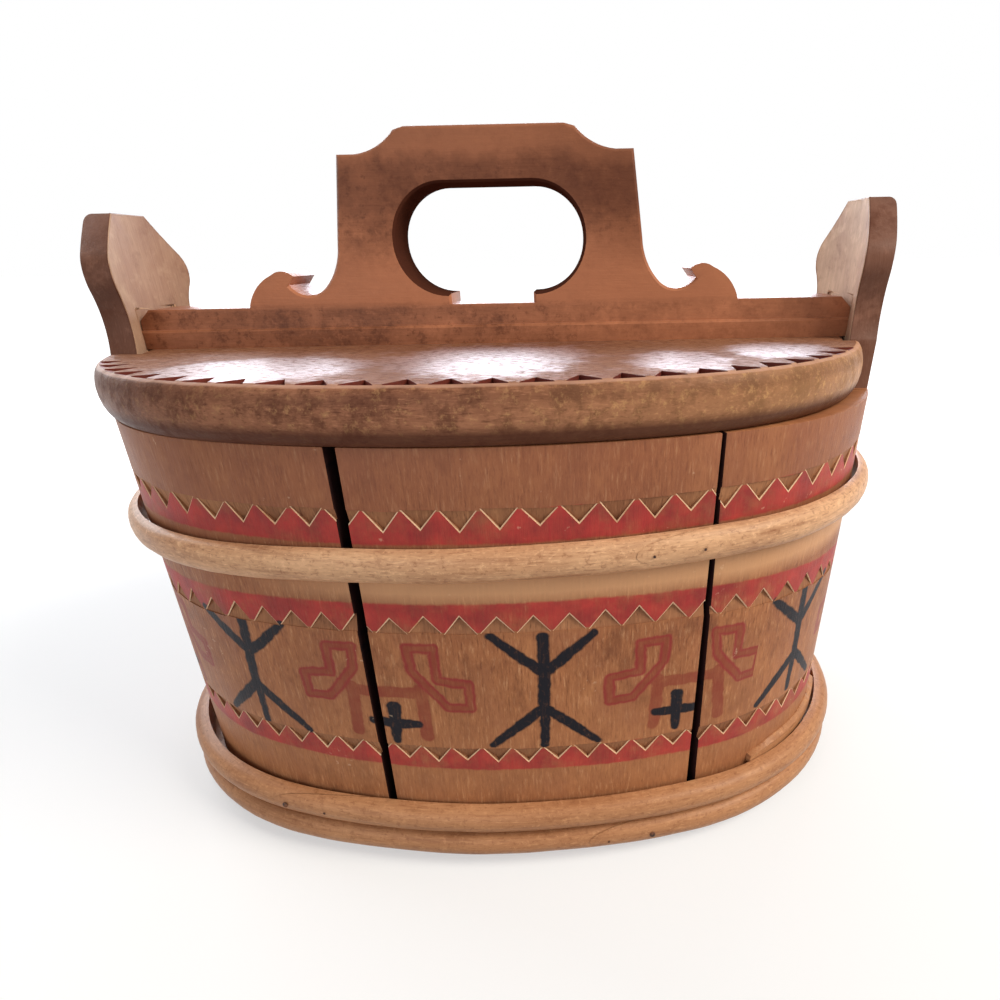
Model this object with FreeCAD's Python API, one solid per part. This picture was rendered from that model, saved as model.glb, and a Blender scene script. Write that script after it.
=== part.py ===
"""Norwegian tine: a coopered oval box with two rising ears and a lid that locks between them.

Units are millimetres, +Z is up, +X runs along the box and -Y is its front.
The origin is at the centre of the oval, on the surface that the box stands on.

Every oval is four tangent arcs, so an oval grown by one distance all round keeps its four
centres.  The tub's wall, the hoops and the lid's rim are profiles turned about those centres.
"""
import FreeCAD, Part
import math
import os

V = FreeCAD.Vector
Z_AXIS = V(0, 0, 1)

# ---- driving dimensions -------------------------------------------------------------------
FOOT_HALF_LENGTH = 104.0      # outside of the tub at the foot
FOOT_HALF_WIDTH = 75.2
FOOT_SIDE_RISE = 6.2          # how much wider the oval is than its two end circles
TAPER = 0.07                  # outward lean of the wall, per millimetre of height
WALL_HEIGHT = 121.0           # top of the plain staves, where the lid rests
STAVE_THICKNESS = 7.6

EAR_TOP = 172.5
EAR_END_HALF = 8.5            # half width of the flat top
EAR_SHOULDER_HALF = 19.0      # down its outline: a straight slope, a bulge, a neck and a flare
EAR_SHOULDER_Z = 161.8
EAR_BULGE_HALF = 21.4
EAR_BULGE_Z = 156.6
EAR_CURL_HALF = 20.0
EAR_CURL_Z = 151.4
EAR_NECK_HALF = 17.9
EAR_NECK_Z = 143.6
EAR_FLARE_HALF = 20.3
EAR_FLARE_Z = 134.4
EAR_ROOT_HALF = 20.8
END_STAVE_ANGLE = 18.0        # half angle of an end stave about its end centre

CROZE_HEIGHT = 12.0           # the groove that holds the bottom board, above the foot
CROZE_WIDTH = 7.0
CROZE_DEPTH = 3.0
CROZE_CLEARANCE = 0.3
FOOT_CHAMFER = 1.2

# A front joint is at X on the outside at the foot, with its open width at foot and at rim.
# The back staves are the same three, turned end for end.
LEFT_JOINT = {"x": -28.3, "foot": 2.3, "rim": 2.9}
RIGHT_JOINT = {"x": 55.0, "foot": 2.8, "rim": 0.7}
TIGHT_JOINT = 0.16            # open width of a joint that has not shrunk

MIDDLE_HOOP_Z = 93.0
MIDDLE_HOOP_TILT = 1.3        # degrees: it has slid down at its left end
MIDDLE_HOOP_HEIGHT = 8.6
MIDDLE_HOOP_THICKNESS = 3.8
MIDDLE_HOOP_SIDE_GAP = 0.3    # between hoop and stave along the sides
MIDDLE_HOOP_END_SLACK = 1.5   # and at the ends, where it lets the ears spring
FOOT_HOOP_Z = 7.1             # middle of the lowest hoop
FOOT_HOOP_STACK_GAP = 0.2
FOOT_HOOP_HEIGHT = 8.2
FOOT_HOOP_THICKNESS = 5.0
FOOT_HOOP_SIDE_GAP = 0.7
FOOT_HOOP_END_SLACK = 2.6
HOOP_FACE_SHARE = 0.5         # of its height: a split rod is whittled to a face and two bevels
LAP_LENGTH = 30.0
LAP_GAP = 0.25

LID_END_OVERHANG = -0.5       # beyond the staves' rim: flush at the ends, between the ears
LID_SIDE_OVERHANG = 3.1
LID_SIDE_RISE = 4.3
LID_THICKNESS = 13.8
LID_OFF_CENTRE = -2.5         # the lid board is sawn a little to the left of its handle
LID_TOP_ROUND = 2.4           # how far the rim draws in at its top and at its underside
LID_UNDER_ROUND = 4.2
LID_NOSE_HEIGHT = 8.0         # where the rim stands out furthest, above its underside
LID_SEAT_GAP = 0.0
EAR_CLEARANCE = 0.9           # lid notch round an ear

BOARD_THICKNESS = 18.8        # handle board
RIB_BITE = 0.2                # into each ear's inner face, at the lid's top
RIB_HEIGHT = 11.2
RIB_STEP_HEIGHT = 5.4
RIB_STEP_OUT = 1.4
RIB_END_CHAMFER = 3.0
MORTISE_CLEARANCE = 0.4
EDGE_BREAK = 0.7              # the grip's arrises are knifed off

# The handle board's outline above the rib: half length and height, foot of the scroll to crest.
SCROLL_FOOT = (72.5, 0.0)
SCROLL_BACK = (69.4, 5.8)
SCROLL_BROW = (64.8, 9.0)
SCROLL_PEAK = (61.2, 10.0)
SCROLL_TIP = (58.2, 8.6)
SCROLL_THROAT = (60.0, 6.2)
COVE_BOTTOM = (54.8, 3.2)
COVE_RISE = (49.0, 5.5)
GRIP_BEND = (46.0, 9.8)
GRIP_SIDE = (44.1, 17.0)
SHOULDER = (41.3, 40.0)
SHOULDER_INNER = (36.3, 40.0)
CREST_HOLLOW = (29.4, 42.2)
CREST_CORNER = (25.0, 45.8)
CREST_EDGE = (22.0, 46.6)

HOLE_HALF_LENGTH = 27.2
HOLE_FLAT_HALF = 13.0
HOLE_BOTTOM = 3.0             # above the rib
HOLE_TOP = 32.4
DROP_HALF = 12.2              # the square drop under the hand hole reaches down to the rib

PEG_RADIUS = 3.0              # over the corners of a whittled eight-sided peg
PEG_SIDES = 8
PEG_SINK = 9.0                # how deep a peg stands in the handle board
PEG_PLACES = (-86.0, -44.0, 44.0, 86.0)

NAIL_WIDTH = 1.4              # cut nails, square with a square head
NAIL_HEAD_WIDTH = 2.8
NAIL_HEAD_THICKNESS = 0.6
NAIL_IN_STAVE = 5.0
NAIL_PITCH = 12.0             # between the two nails of a lap
MIDDLE_LAP_X = 47.0           # middle of each hoop's lap, on the front
UPPER_LAP_X = -52.5
LOWER_LAP_X = 36.6

OVERCUT = 1.0                 # how far a cutter runs past what it cuts
SAME = 1e-3                   # closer than this, two places are the same


class Oval:
    """A four-arc oval, with its sides a rise outside the two end circles."""

    def __init__(self, half_length, half_width, side_rise):
        self.half_length = half_length
        self.half_width = half_width
        self.side_rise = side_rise
        self.end_radius = half_width - side_rise
        self.end_x = half_length - self.end_radius
        self.side_y = (self.end_x ** 2 - side_rise ** 2) / (2.0 * side_rise)
        self.side_radius = half_width + self.side_y
        self.side_angle = math.degrees(math.atan2(self.end_x, self.side_y))
        self.end_angle = 90.0 - self.side_angle

    def grown(self, by):
        return Oval(self.half_length + by, self.half_width + by, self.side_rise)

    def arcs(self):
        """Centre, radius, middle direction and half angle of each arc."""
        return ((V(self.end_x, 0, 0), self.end_radius, 0.0, self.end_angle),
                (V(0, -self.side_y, 0), self.side_radius, 90.0, self.side_angle),
                (V(-self.end_x, 0, 0), self.end_radius, 180.0, self.end_angle),
                (V(0, self.side_y, 0), self.side_radius, 270.0, self.side_angle))

    def plate(self, z0, z1):
        """The filled oval between two heights."""
        edges = []
        for centre, radius, middle, half in self.arcs():
            points = [centre + polar(radius, middle + a) for a in (-half, 0.0, half)]
            edges.append(Part.Arc(*points).toShape())
        face = Part.Face(Part.Wire(edges))
        face.translate(V(0, 0, z0))
        return face.extrude(V(0, 0, z1 - z0))

    def ring(self, edges):
        """A closed profile, drawn as (growth, 0, z), turned round the oval."""
        profile = Part.Face(Part.Wire(edges))
        runs = []
        for centre, radius, middle, half in self.arcs():
            start = profile.copy()
            start.translate(V(radius, 0, 0))
            start.rotate(V(0, 0, 0), Z_AXIS, middle - half)
            start.translate(centre)
            runs.append(start.revolve(centre, Z_AXIS, 2.0 * half))
        return runs[0].fuse(runs[1:]).removeSplitter()


def between(a, b, share):
    return a + (b - a) * share


def polar(radius, degrees):
    a = math.radians(degrees)
    return V(radius * math.cos(a), radius * math.sin(a), 0)


def polygon(points):
    return Part.makePolygon(list(points) + [points[0]]).Edges


def lean(z):
    """How far the wall has leaned out at a height."""
    return TAPER * z


def box(x0, x1, y0, y1, z0, z1):
    return Part.makeBox(x1 - x0, y1 - y0, z1 - z0, V(x0, y0, z0))


def arc(a, b, c):
    """An arc through three points, each (x, z), in the plane of X and Z."""
    return Part.Arc(V(a[0], 0, a[1]), V(b[0], 0, b[1]), V(c[0], 0, c[1])).toShape()


def line(a, b):
    return Part.makeLine(V(a[0], 0, a[1]), V(b[0], 0, b[1]))


def mirrored_x(shape):
    return shape.mirror(V(0, 0, 0), V(1, 0, 0))


def turned(shape):
    """The same shape turned end for end about the box's middle."""
    out = shape.copy()
    out.rotate(V(0, 0, 0), Z_AXIS, 180.0)
    return out


FOOT = Oval(FOOT_HALF_LENGTH, FOOT_HALF_WIDTH, FOOT_SIDE_RISE)
RIM = FOOT.grown(lean(WALL_HEIGHT))
LID_TOP = WALL_HEIGHT + LID_SEAT_GAP + LID_THICKNESS
RIB_TOP = LID_TOP + RIB_HEIGHT
RIB_HALF_LENGTH = FOOT_HALF_LENGTH + lean(LID_TOP) - STAVE_THICKNESS + RIB_BITE


# ---- the wall and its staves --------------------------------------------------------------
def wall_ring():
    """The whole wall up to the ears' tops, with the croze that holds the bottom board."""
    groove_low, groove_high = CROZE_HEIGHT, CROZE_HEIGHT + CROZE_WIDTH

    def inner(z, depth=0.0):
        return V(lean(z) - STAVE_THICKNESS + depth, 0, z)

    profile = [V(lean(FOOT_CHAMFER), 0, FOOT_CHAMFER), V(lean(EAR_TOP), 0, EAR_TOP),
               inner(EAR_TOP), inner(groove_high), inner(groove_high, CROZE_DEPTH),
               inner(groove_low, CROZE_DEPTH), inner(groove_low), inner(0), V(-FOOT_CHAMFER, 0, 0)]
    return FOOT.ring(polygon(profile))


def joint_cut(centre, radius, direction, foot_width, rim_width):
    """A thin wedge across the wall, on a plane through the centre of the wall's arc."""
    start, reach = radius - 3.0 * STAVE_THICKNESS, 6.0 * STAVE_THICKNESS
    per_mm = (rim_width - foot_width) / (2.0 * WALL_HEIGHT)
    low, high = -OVERCUT, EAR_TOP + OVERCUT
    half_low = foot_width / 2.0 + per_mm * low
    half_high = max(foot_width / 2.0 + per_mm * high, TIGHT_JOINT / 2.0)
    wedge = Part.Face(Part.Wire(polygon([V(0, -half_low, low), V(0, half_low, low),
                                         V(0, half_high, high), V(0, -half_high, high)])))
    wedge = wedge.extrude(V(reach, 0, 0))
    wedge.translate(V(start, 0, 0))
    wedge.rotate(V(0, 0, 0), Z_AXIS, direction)
    wedge.translate(centre)
    return wedge


def front_joint_direction(x):
    """Direction from the front arc's centre to the joint at X on the foot's outside."""
    return 270.0 + math.degrees(math.asin(x / FOOT.side_radius))


def joint_cuts():
    front = V(0, FOOT.side_y, 0)
    cuts = [joint_cut(front, FOOT.side_radius, front_joint_direction(j["x"]), j["foot"], j["rim"])
            for j in (LEFT_JOINT, RIGHT_JOINT)]
    cuts += [turned(c) for c in cuts]
    for centre, middle in ((V(FOOT.end_x, 0, 0), 0.0), (V(-FOOT.end_x, 0, 0), 180.0)):
        for side in (-1, 1):
            cuts.append(joint_cut(centre, FOOT.end_radius, middle + side * END_STAVE_ANGLE,
                                  TIGHT_JOINT, TIGHT_JOINT))
    return cuts


def ear_blank():
    """Everything that an end stave keeps: the wall below the rim and the shaped ear above it."""
    root, flare = (EAR_ROOT_HALF, WALL_HEIGHT), (EAR_FLARE_HALF, EAR_FLARE_Z)
    neck, curl = (EAR_NECK_HALF, EAR_NECK_Z), (EAR_CURL_HALF, EAR_CURL_Z)
    bulge, shoulder = (EAR_BULGE_HALF, EAR_BULGE_Z), (EAR_SHOULDER_HALF, EAR_SHOULDER_Z)
    tip, top = (EAR_END_HALF, EAR_TOP), (0, EAR_TOP)
    half = [line((0, WALL_HEIGHT), root), line(root, flare), arc(flare, neck, curl),
            arc(curl, bulge, shoulder), line(shoulder, tip), line(tip, top)]
    outline = Part.Face(Part.Wire(Part.__sortEdges__(half + [mirrored_x(e) for e in half])))
    outline.rotate(V(0, 0, 0), Z_AXIS, 90.0)
    reach = 2.0 * EAR_TOP
    below = box(0, reach, -EAR_TOP, EAR_TOP, -OVERCUT, WALL_HEIGHT)
    return outline.extrude(V(reach, 0, 0)).fuse(below).removeSplitter()


def mortise():
    """The shallow pocket in an ear's inner face that a rib end snaps into."""
    half = BOARD_THICKNESS / 2.0 + RIB_STEP_OUT + MORTISE_CLEARANCE
    return box(0, RIB_HALF_LENGTH + MORTISE_CLEARANCE, -half, half,
               LID_TOP - MORTISE_CLEARANCE, RIB_TOP + MORTISE_CLEARANCE)


def staves():
    pieces = wall_ring().cut(joint_cuts()).Solids
    reach = 2.0 * EAR_TOP
    above_rim = box(-reach, reach, -reach, reach, WALL_HEIGHT, EAR_TOP + OVERCUT)
    right_blank = ear_blank().cut(mortise())
    blanks = {"right": right_blank, "left": mirrored_x(right_blank)}
    named = {}
    for piece in pieces:
        c = piece.CenterOfMass
        end = "right" if c.x > 0 else "left"
        if abs(c.y) < STAVE_THICKNESS:
            named[end + "_ear_stave"] = piece.common(blanks[end])
            continue
        side = "front" if c.y < 0 else "back"
        place = "middle" if abs(c.x) < FOOT.end_x else end
        named["%s_%s_stave" % (side, place)] = piece.cut(above_rim)
    return named


def bottom_board():
    """The board in the croze, a clearance short of the groove all round."""
    low = CROZE_HEIGHT + CROZE_CLEARANCE
    high = CROZE_HEIGHT + CROZE_WIDTH - CROZE_CLEARANCE
    edge = lean(low) - STAVE_THICKNESS + CROZE_DEPTH - CROZE_CLEARANCE
    return FOOT.grown(edge).plate(low, high)


# ---- hoops --------------------------------------------------------------------------------
class Hoop:
    """A split rod bent round the tub, its ends scarfed and nailed at the lap."""

    def __init__(self, z, height, thickness, side_gap, end_slack, lap_x, tilt=0.0):
        self.z = z
        self.height = height
        self.thickness = thickness
        self.stand_off = thickness + side_gap
        self.lap_x = lap_x
        self.tilt = tilt
        wall = FOOT.grown(lean(z))
        self.inside = Oval(wall.half_length + end_slack, wall.half_width + side_gap, FOOT_SIDE_RISE)

    def placed(self, shape, x, depth):
        """Move a shape from the origin to X on the front, a depth outside the inner face."""
        shape.translate(V(0, -self.inside.side_radius - depth, 0))
        shape.rotate(V(0, 0, 0), Z_AXIS, math.degrees(math.asin(x / self.inside.side_radius)))
        shape.translate(V(0, self.inside.side_y, self.z))
        return shape

    def leaned(self, shape):
        shape.rotate(V(0, 0, self.z), V(0, 1, 0), -self.tilt)
        return shape

    def scarf(self):
        """The thin slanted slot that parts the two lapped ends."""
        slot = box(-LAP_LENGTH, LAP_LENGTH, -LAP_GAP / 2.0, LAP_GAP / 2.0, -self.height, self.height)
        slant = math.degrees(math.atan2(self.thickness, LAP_LENGTH))
        slot.rotate(V(0, 0, 0), Z_AXIS, slant)
        return self.placed(slot, self.lap_x, self.thickness / 2.0)

    def nails(self):
        """Two nails through the lap, driven square to the stave."""
        half, head_half = NAIL_WIDTH / 2.0, NAIL_HEAD_WIDTH / 2.0
        length = self.stand_off + NAIL_IN_STAVE
        pair = []
        for along in (-NAIL_PITCH / 2.0, NAIL_PITCH / 2.0):
            head = box(-head_half, head_half, -NAIL_HEAD_THICKNESS, 0, -head_half, head_half)
            nail = box(-half, half, 0, length, -half, half).fuse(head)
            pair.append(self.leaned(self.placed(nail, self.lap_x + along, self.thickness)))
        return pair

    def shape(self):
        back = self.height / 2.0
        face = back * HOOP_FACE_SHARE
        section = [V(lean(up) + out, 0, self.z + up) for up, out in
                   ((-back, 0), (-face, self.thickness), (face, self.thickness), (back, 0))]
        return self.leaned(self.inside.ring(polygon(section)).cut(self.scarf()))


def foot_hoop(z, lap_x):
    return Hoop(z, FOOT_HOOP_HEIGHT, FOOT_HOOP_THICKNESS, FOOT_HOOP_SIDE_GAP,
                FOOT_HOOP_END_SLACK, lap_x)


HOOPS = {
    "middle_hoop": Hoop(MIDDLE_HOOP_Z, MIDDLE_HOOP_HEIGHT, MIDDLE_HOOP_THICKNESS,
                        MIDDLE_HOOP_SIDE_GAP, MIDDLE_HOOP_END_SLACK, MIDDLE_LAP_X,
                        MIDDLE_HOOP_TILT),
    "upper_foot_hoop": foot_hoop(FOOT_HOOP_Z + FOOT_HOOP_HEIGHT + FOOT_HOOP_STACK_GAP, UPPER_LAP_X),
    "lower_foot_hoop": foot_hoop(FOOT_HOOP_Z, LOWER_LAP_X),
}


# ---- lid ----------------------------------------------------------------------------------
def lid_board():
    """An oval plate with a rounded rim, notched round both ears."""
    low, high = WALL_HEIGHT + LID_SEAT_GAP, LID_TOP
    plan = Oval(RIM.half_length + LID_END_OVERHANG, RIM.half_width + LID_SIDE_OVERHANG, LID_SIDE_RISE)
    nose, inner = low + LID_NOSE_HEIGHT, -LID_THICKNESS
    rim = [V(inner, 0, low), V(-LID_UNDER_ROUND, 0, low),
           V(-LID_UNDER_ROUND / 4.0, 0, between(low, nose, 0.45)), V(0, 0, nose),
           V(-LID_TOP_ROUND / 4.0, 0, between(nose, high, 0.65)), V(-LID_TOP_ROUND, 0, high),
           V(inner, 0, high)]
    middle = plan.grown(inner + OVERCUT).plate(low, high)
    plate = plan.ring(polygon(rim)).fuse(middle).removeSplitter()
    plate.translate(V(LID_OFF_CENTRE, 0, 0))
    half = max(EAR_BULGE_HALF, EAR_ROOT_HALF) + EAR_CLEARANCE
    ear_face = FOOT.end_radius + lean(low) - STAVE_THICKNESS - EAR_CLEARANCE
    notch = box(FOOT.end_x, 2.0 * EAR_TOP, -half, half, low - OVERCUT, high + OVERCUT)
    notch = notch.cut(Part.makeCylinder(ear_face, LID_THICKNESS + 2.0 * OVERCUT,
                                        V(FOOT.end_x, 0, low - OVERCUT)))
    return plate.cut([notch, mirrored_x(notch)])


def above_rib(point):
    return (point[0], RIB_TOP + point[1])


def handle_half_outline():
    """The right half of the board's outline, from the rib's foot up to the crest."""
    foot, back, brow, peak, tip, throat, cove, rise, bend, side, shoulder, inner, hollow, corner, crest = (
        above_rib(p) for p in (
            SCROLL_FOOT, SCROLL_BACK, SCROLL_BROW, SCROLL_PEAK, SCROLL_TIP, SCROLL_THROAT,
            COVE_BOTTOM, COVE_RISE, GRIP_BEND, GRIP_SIDE, SHOULDER, SHOULDER_INNER,
            CREST_HOLLOW, CREST_CORNER, CREST_EDGE))
    end = RIB_HALF_LENGTH
    chamfer_low, chamfer_top = (end, RIB_TOP - RIB_END_CHAMFER), (end - RIB_END_CHAMFER, RIB_TOP)
    return [line((0, LID_TOP), (end, LID_TOP)), line((end, LID_TOP), chamfer_low),
            line(chamfer_low, chamfer_top), line(chamfer_top, foot),
            arc(foot, back, brow), arc(brow, peak, tip), line(tip, throat),
            arc(throat, cove, rise), arc(rise, bend, side), line(side, shoulder),
            line(shoulder, inner), arc(inner, hollow, corner), line(corner, crest),
            line(crest, (0, crest[1]))]


def hand_hole():
    """A long rounded hole with a shallow square drop in its lower edge."""
    low, high = RIB_TOP + HOLE_BOTTOM, RIB_TOP + HOLE_TOP
    end, flat = HOLE_HALF_LENGTH, HOLE_FLAT_HALF
    middle = (low + high) / 2.0
    bend = (end - flat) * math.sqrt(0.5)
    drop = (high - low) / 2.0 * math.sqrt(0.5)
    edges = [line((-flat, low), (flat, low)),
             arc((flat, low), (flat + bend, middle - drop), (end, middle)),
             arc((end, middle), (flat + bend, middle + drop), (flat, high)),
             line((flat, high), (-flat, high)),
             arc((-flat, high), (-flat - bend, middle + drop), (-end, middle)),
             arc((-end, middle), (-flat - bend, middle - drop), (-flat, low))]
    half = BOARD_THICKNESS
    face = Part.Face(Part.Wire(edges))
    face.translate(V(0, -half, 0))
    square = box(-DROP_HALF, DROP_HALF, -half, half, RIB_TOP, middle)
    return face.extrude(V(0, 2.0 * half, 0)).fuse(square).removeSplitter()


def handle_board():
    """One board: the rib that locks between the ears, two scrolls and the raised hand grip."""
    right = handle_half_outline()
    left = [mirrored_x(e) for e in right]
    face = Part.Face(Part.Wire(Part.__sortEdges__(right + left)))
    half = BOARD_THICKNESS / 2.0
    face.translate(V(0, -half, 0))
    front = face.extrude(V(0, half, 0)).cut(hand_hole())
    grip_arrises = [e for e in front.Edges if e.BoundBox.YMax < SAME - half
                    and e.CenterOfMass.z > RIB_TOP + SAME and abs(e.CenterOfMass.x) < COVE_RISE[0]]
    front = front.makeChamfer(EDGE_BREAK, grip_arrises)
    board = front.fuse(front.mirror(V(0, 0, 0), V(0, 1, 0))).removeSplitter()
    step_half = half + RIB_STEP_OUT
    step_top = LID_TOP + RIB_STEP_HEIGHT
    step = box(-RIB_HALF_LENGTH, RIB_HALF_LENGTH, -step_half, step_half, LID_TOP, step_top)
    long_top = [e for e in step.Edges
                if e.BoundBox.ZMin > step_top - SAME and abs(e.CenterOfMass.x) < SAME]
    return board.fuse(step.makeChamfer(RIB_STEP_OUT / 2.0, long_top)).removeSplitter()


def pegs():
    """Whittled pegs from the lid's underside up into the handle board."""
    out = []
    for x in PEG_PLACES:
        at = V(x, 0, WALL_HEIGHT + LID_SEAT_GAP)
        corners = [at + polar(PEG_RADIUS, (k + 0.5) * 360.0 / PEG_SIDES) for k in range(PEG_SIDES)]
        out.append(Part.Face(Part.Wire(polygon(corners))).extrude(V(0, 0, LID_THICKNESS + PEG_SINK)))
    return out


def main():
    os.makedirs("parts", exist_ok=True)
    nodes = staves()
    nails = [nail for hoop in HOOPS.values() for nail in hoop.nails()]
    for name in ("front_left_stave", "front_middle_stave", "front_right_stave"):
        nodes[name] = nodes[name].cut(nails)
    for name, hoop in HOOPS.items():
        nodes[name] = hoop.shape().cut(nails)
    nodes["hoop_nails"] = Part.makeCompound(nails)
    nodes["bottom_board"] = bottom_board()
    peg_list = pegs()
    nodes["lid_board"] = lid_board().cut(peg_list)
    nodes["handle_board"] = handle_board().cut(peg_list)
    nodes["handle_pegs"] = Part.makeCompound(peg_list)
    for name, shape in nodes.items():
        shape.exportStep("parts/%s.step" % name)


main()
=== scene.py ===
"""A painted, staved oval box with a locking lid, dressed for show.

Run as a script. Sizes are in metres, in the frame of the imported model.
"""

import math
import random

import bmesh
import bpy
from bpy.props import FloatProperty, FloatVectorProperty, IntProperty, PointerProperty
from mathutils import Matrix, Vector, noise


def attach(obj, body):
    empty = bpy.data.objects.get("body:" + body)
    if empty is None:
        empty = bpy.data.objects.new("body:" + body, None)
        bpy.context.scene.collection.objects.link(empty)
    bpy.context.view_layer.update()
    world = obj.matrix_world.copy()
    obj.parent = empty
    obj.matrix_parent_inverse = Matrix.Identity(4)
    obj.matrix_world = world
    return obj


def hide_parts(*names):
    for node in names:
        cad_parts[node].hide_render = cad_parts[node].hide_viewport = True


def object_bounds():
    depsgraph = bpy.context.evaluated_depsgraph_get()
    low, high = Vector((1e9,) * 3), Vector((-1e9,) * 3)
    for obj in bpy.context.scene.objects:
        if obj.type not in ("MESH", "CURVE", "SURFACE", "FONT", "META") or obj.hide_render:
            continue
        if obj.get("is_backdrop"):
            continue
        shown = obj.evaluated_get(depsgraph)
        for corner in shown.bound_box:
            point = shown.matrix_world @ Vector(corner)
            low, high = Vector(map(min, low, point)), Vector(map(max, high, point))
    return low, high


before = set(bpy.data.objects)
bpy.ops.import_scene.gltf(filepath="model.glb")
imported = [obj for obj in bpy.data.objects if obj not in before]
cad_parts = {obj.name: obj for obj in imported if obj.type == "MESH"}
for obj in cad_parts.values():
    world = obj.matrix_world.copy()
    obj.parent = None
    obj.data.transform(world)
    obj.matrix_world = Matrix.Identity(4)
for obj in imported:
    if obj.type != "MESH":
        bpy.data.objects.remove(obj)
CAD_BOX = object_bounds()

bl_info = {
    "name": "Norwegian tine",
    "version": (1, 0, 0),
    "blender": (4, 5, 0),
    "location": "View3D > Sidebar > Tine",
    "description": "Dresses a staved oval box with carved bands, paint and split-rod hoops",
    "category": "Object",
}

MM = 0.001
FRONT_STAVES = ("front_left_stave", "front_middle_stave", "front_right_stave")
BACK_STAVES = ("back_left_stave", "back_middle_stave", "back_right_stave")


# ---- the tub's plan -----------------------------------------------------------------------
class Oval:
    """An oval of four arcs: two ends and two long sides."""

    def __init__(self, half_length, half_width, side_rise):
        self.end_radius = half_width - side_rise
        self.end_x = half_length - self.end_radius
        self.side_y = (self.end_x ** 2 - side_rise ** 2) / (2.0 * side_rise)
        self.side_radius = half_width + self.side_y
        self.side_angle = math.atan2(self.end_x, self.side_y)
        self.quarter = self.side_radius * self.side_angle + self.end_radius * (
            math.pi / 2.0 - self.side_angle)

    def grown(self, by):
        """The same oval with every point moved outwards."""
        half_width = self.side_radius - self.side_y
        other = Oval(self.end_x + self.end_radius, half_width, half_width - self.end_radius)
        other.end_radius += by
        other.side_radius += by
        return other

    def along(self, x, y):
        """How far round from the middle of the front, from -quarter to quarter, for y <= 0."""
        side = 1.0 if x >= 0.0 else -1.0
        angle = math.atan2(abs(x), self.side_y - y)
        if angle < self.side_angle:
            return side * self.side_radius * angle
        angle = math.atan2(abs(x) - self.end_x, -y)
        return side * (self.side_radius * self.side_angle
                       + self.end_radius * (angle - self.side_angle))

    def point(self, along, out):
        """The place and the outward direction at a distance round from the middle of the front."""
        turn = math.floor((along + self.quarter) / (2.0 * self.quarter))
        along -= turn * 2.0 * self.quarter
        side = 1.0 if along >= 0.0 else -1.0
        length, limit = abs(along), self.side_radius * self.side_angle
        if length < limit:
            angle = length / self.side_radius
            centre, radius = (0.0, self.side_y), self.side_radius
        else:
            angle = self.side_angle + (length - limit) / self.end_radius
            centre, radius = (self.end_x, 0.0), self.end_radius
        way = Vector((side * math.sin(angle), -math.cos(angle), 0.0))
        place = Vector((side * centre[0], centre[1], 0.0)) + way * (radius + out)
        if turn % 2:
            place, way = Vector((-place.x, -place.y, 0.0)), -way
        return place, way


SIDE_RISE = 6.2 * MM            # how far each long side bulges past its ends
FOOT = Oval(104.0 * MM, 75.2 * MM, SIDE_RISE)
TAPER = 0.07
WALL_HEIGHT = 121.0 * MM
HALF_ROUND = 2.0 * FOOT.quarter
FULL_ROUND = 2.0 * HALF_ROUND
LID_TOP = 134.8 * MM


def wall_along(x, y, left_end=False):
    """Distance round the wall from the middle of the front, also on the back."""
    if y <= 0.0:
        return FOOT.along(x, y)
    along = HALF_ROUND + FOOT.along(-x, -y)
    return along - FULL_ROUND if left_end else along


def wall_point(along, z, out=0.0):
    """A place on the tapered wall, or outside it, and the outward direction there."""
    place, way = FOOT.point(along, TAPER * z + out)
    return Vector((place.x, place.y, z)), way


def growth(x, y):
    """How far a point stands outside the foot's oval."""
    x, y = abs(x), abs(y)
    if math.atan2(x, y + FOOT.side_y) < FOOT.side_angle:
        return math.hypot(x, y + FOOT.side_y) - FOOT.side_radius
    return math.hypot(x - FOOT.end_x, y) - FOOT.end_radius


# ---- making pieces ------------------------------------------------------------------------
SHARP_ANGLE = 32.0              # degrees, above which an edge between two faces stays sharp
BEVEL_ANGLE = 35.0              # degrees, above which an edge is rounded
FLAT_ANGLE = 0.2                # degrees, below which two faces of a node are one flat face
NODE_WELD = 1e-6                # metres, within which a node's points are merged
CUT_WELD = 2e-6                 # metres, the same after a cut
RING_WELD = 1e-5                # metres, the same where a ring closes
WALL_MAP = "wall"


def shade(bm, sharp):
    """Smooth faces, with edges kept sharp above an angle and between materials."""
    limit = math.radians(sharp)
    for face in bm.faces:
        face.smooth = True
    for edge in bm.edges:
        faces = edge.link_faces
        edge.smooth = (len(faces) == 2 and faces[0].material_index == faces[1].material_index
                       and edge.calc_face_angle(0.0) < limit)


def new_object(name, bm, materials, sharp=SHARP_ANGLE):
    """A finished object from a bmesh."""
    shade(bm, sharp)
    mesh = bpy.data.meshes.new(name)
    bm.to_mesh(mesh)
    bm.free()
    for material in materials:
        mesh.materials.append(material)
    piece = bpy.data.objects.new(name, mesh)
    bpy.context.scene.collection.objects.link(piece)
    return piece


def node_copy(node):
    """A CAD node's mesh as a bmesh, its loose triangles merged into whole faces."""
    bm = bmesh.new()
    bm.from_mesh(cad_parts[node].data)
    bmesh.ops.remove_doubles(bm, verts=bm.verts, dist=NODE_WELD)
    bmesh.ops.dissolve_limit(bm, angle_limit=math.radians(FLAT_ANGLE), verts=bm.verts,
                             edges=bm.edges)
    return bm


def apply_modifiers(piece):
    """Apply every modifier of a piece to its mesh."""
    graph = bpy.context.evaluated_depsgraph_get()
    mesh = bpy.data.meshes.new_from_object(piece.evaluated_get(graph))
    old = piece.data
    piece.modifiers.clear()
    piece.data = mesh
    mesh.name = piece.name
    bpy.data.meshes.remove(old)


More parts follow.
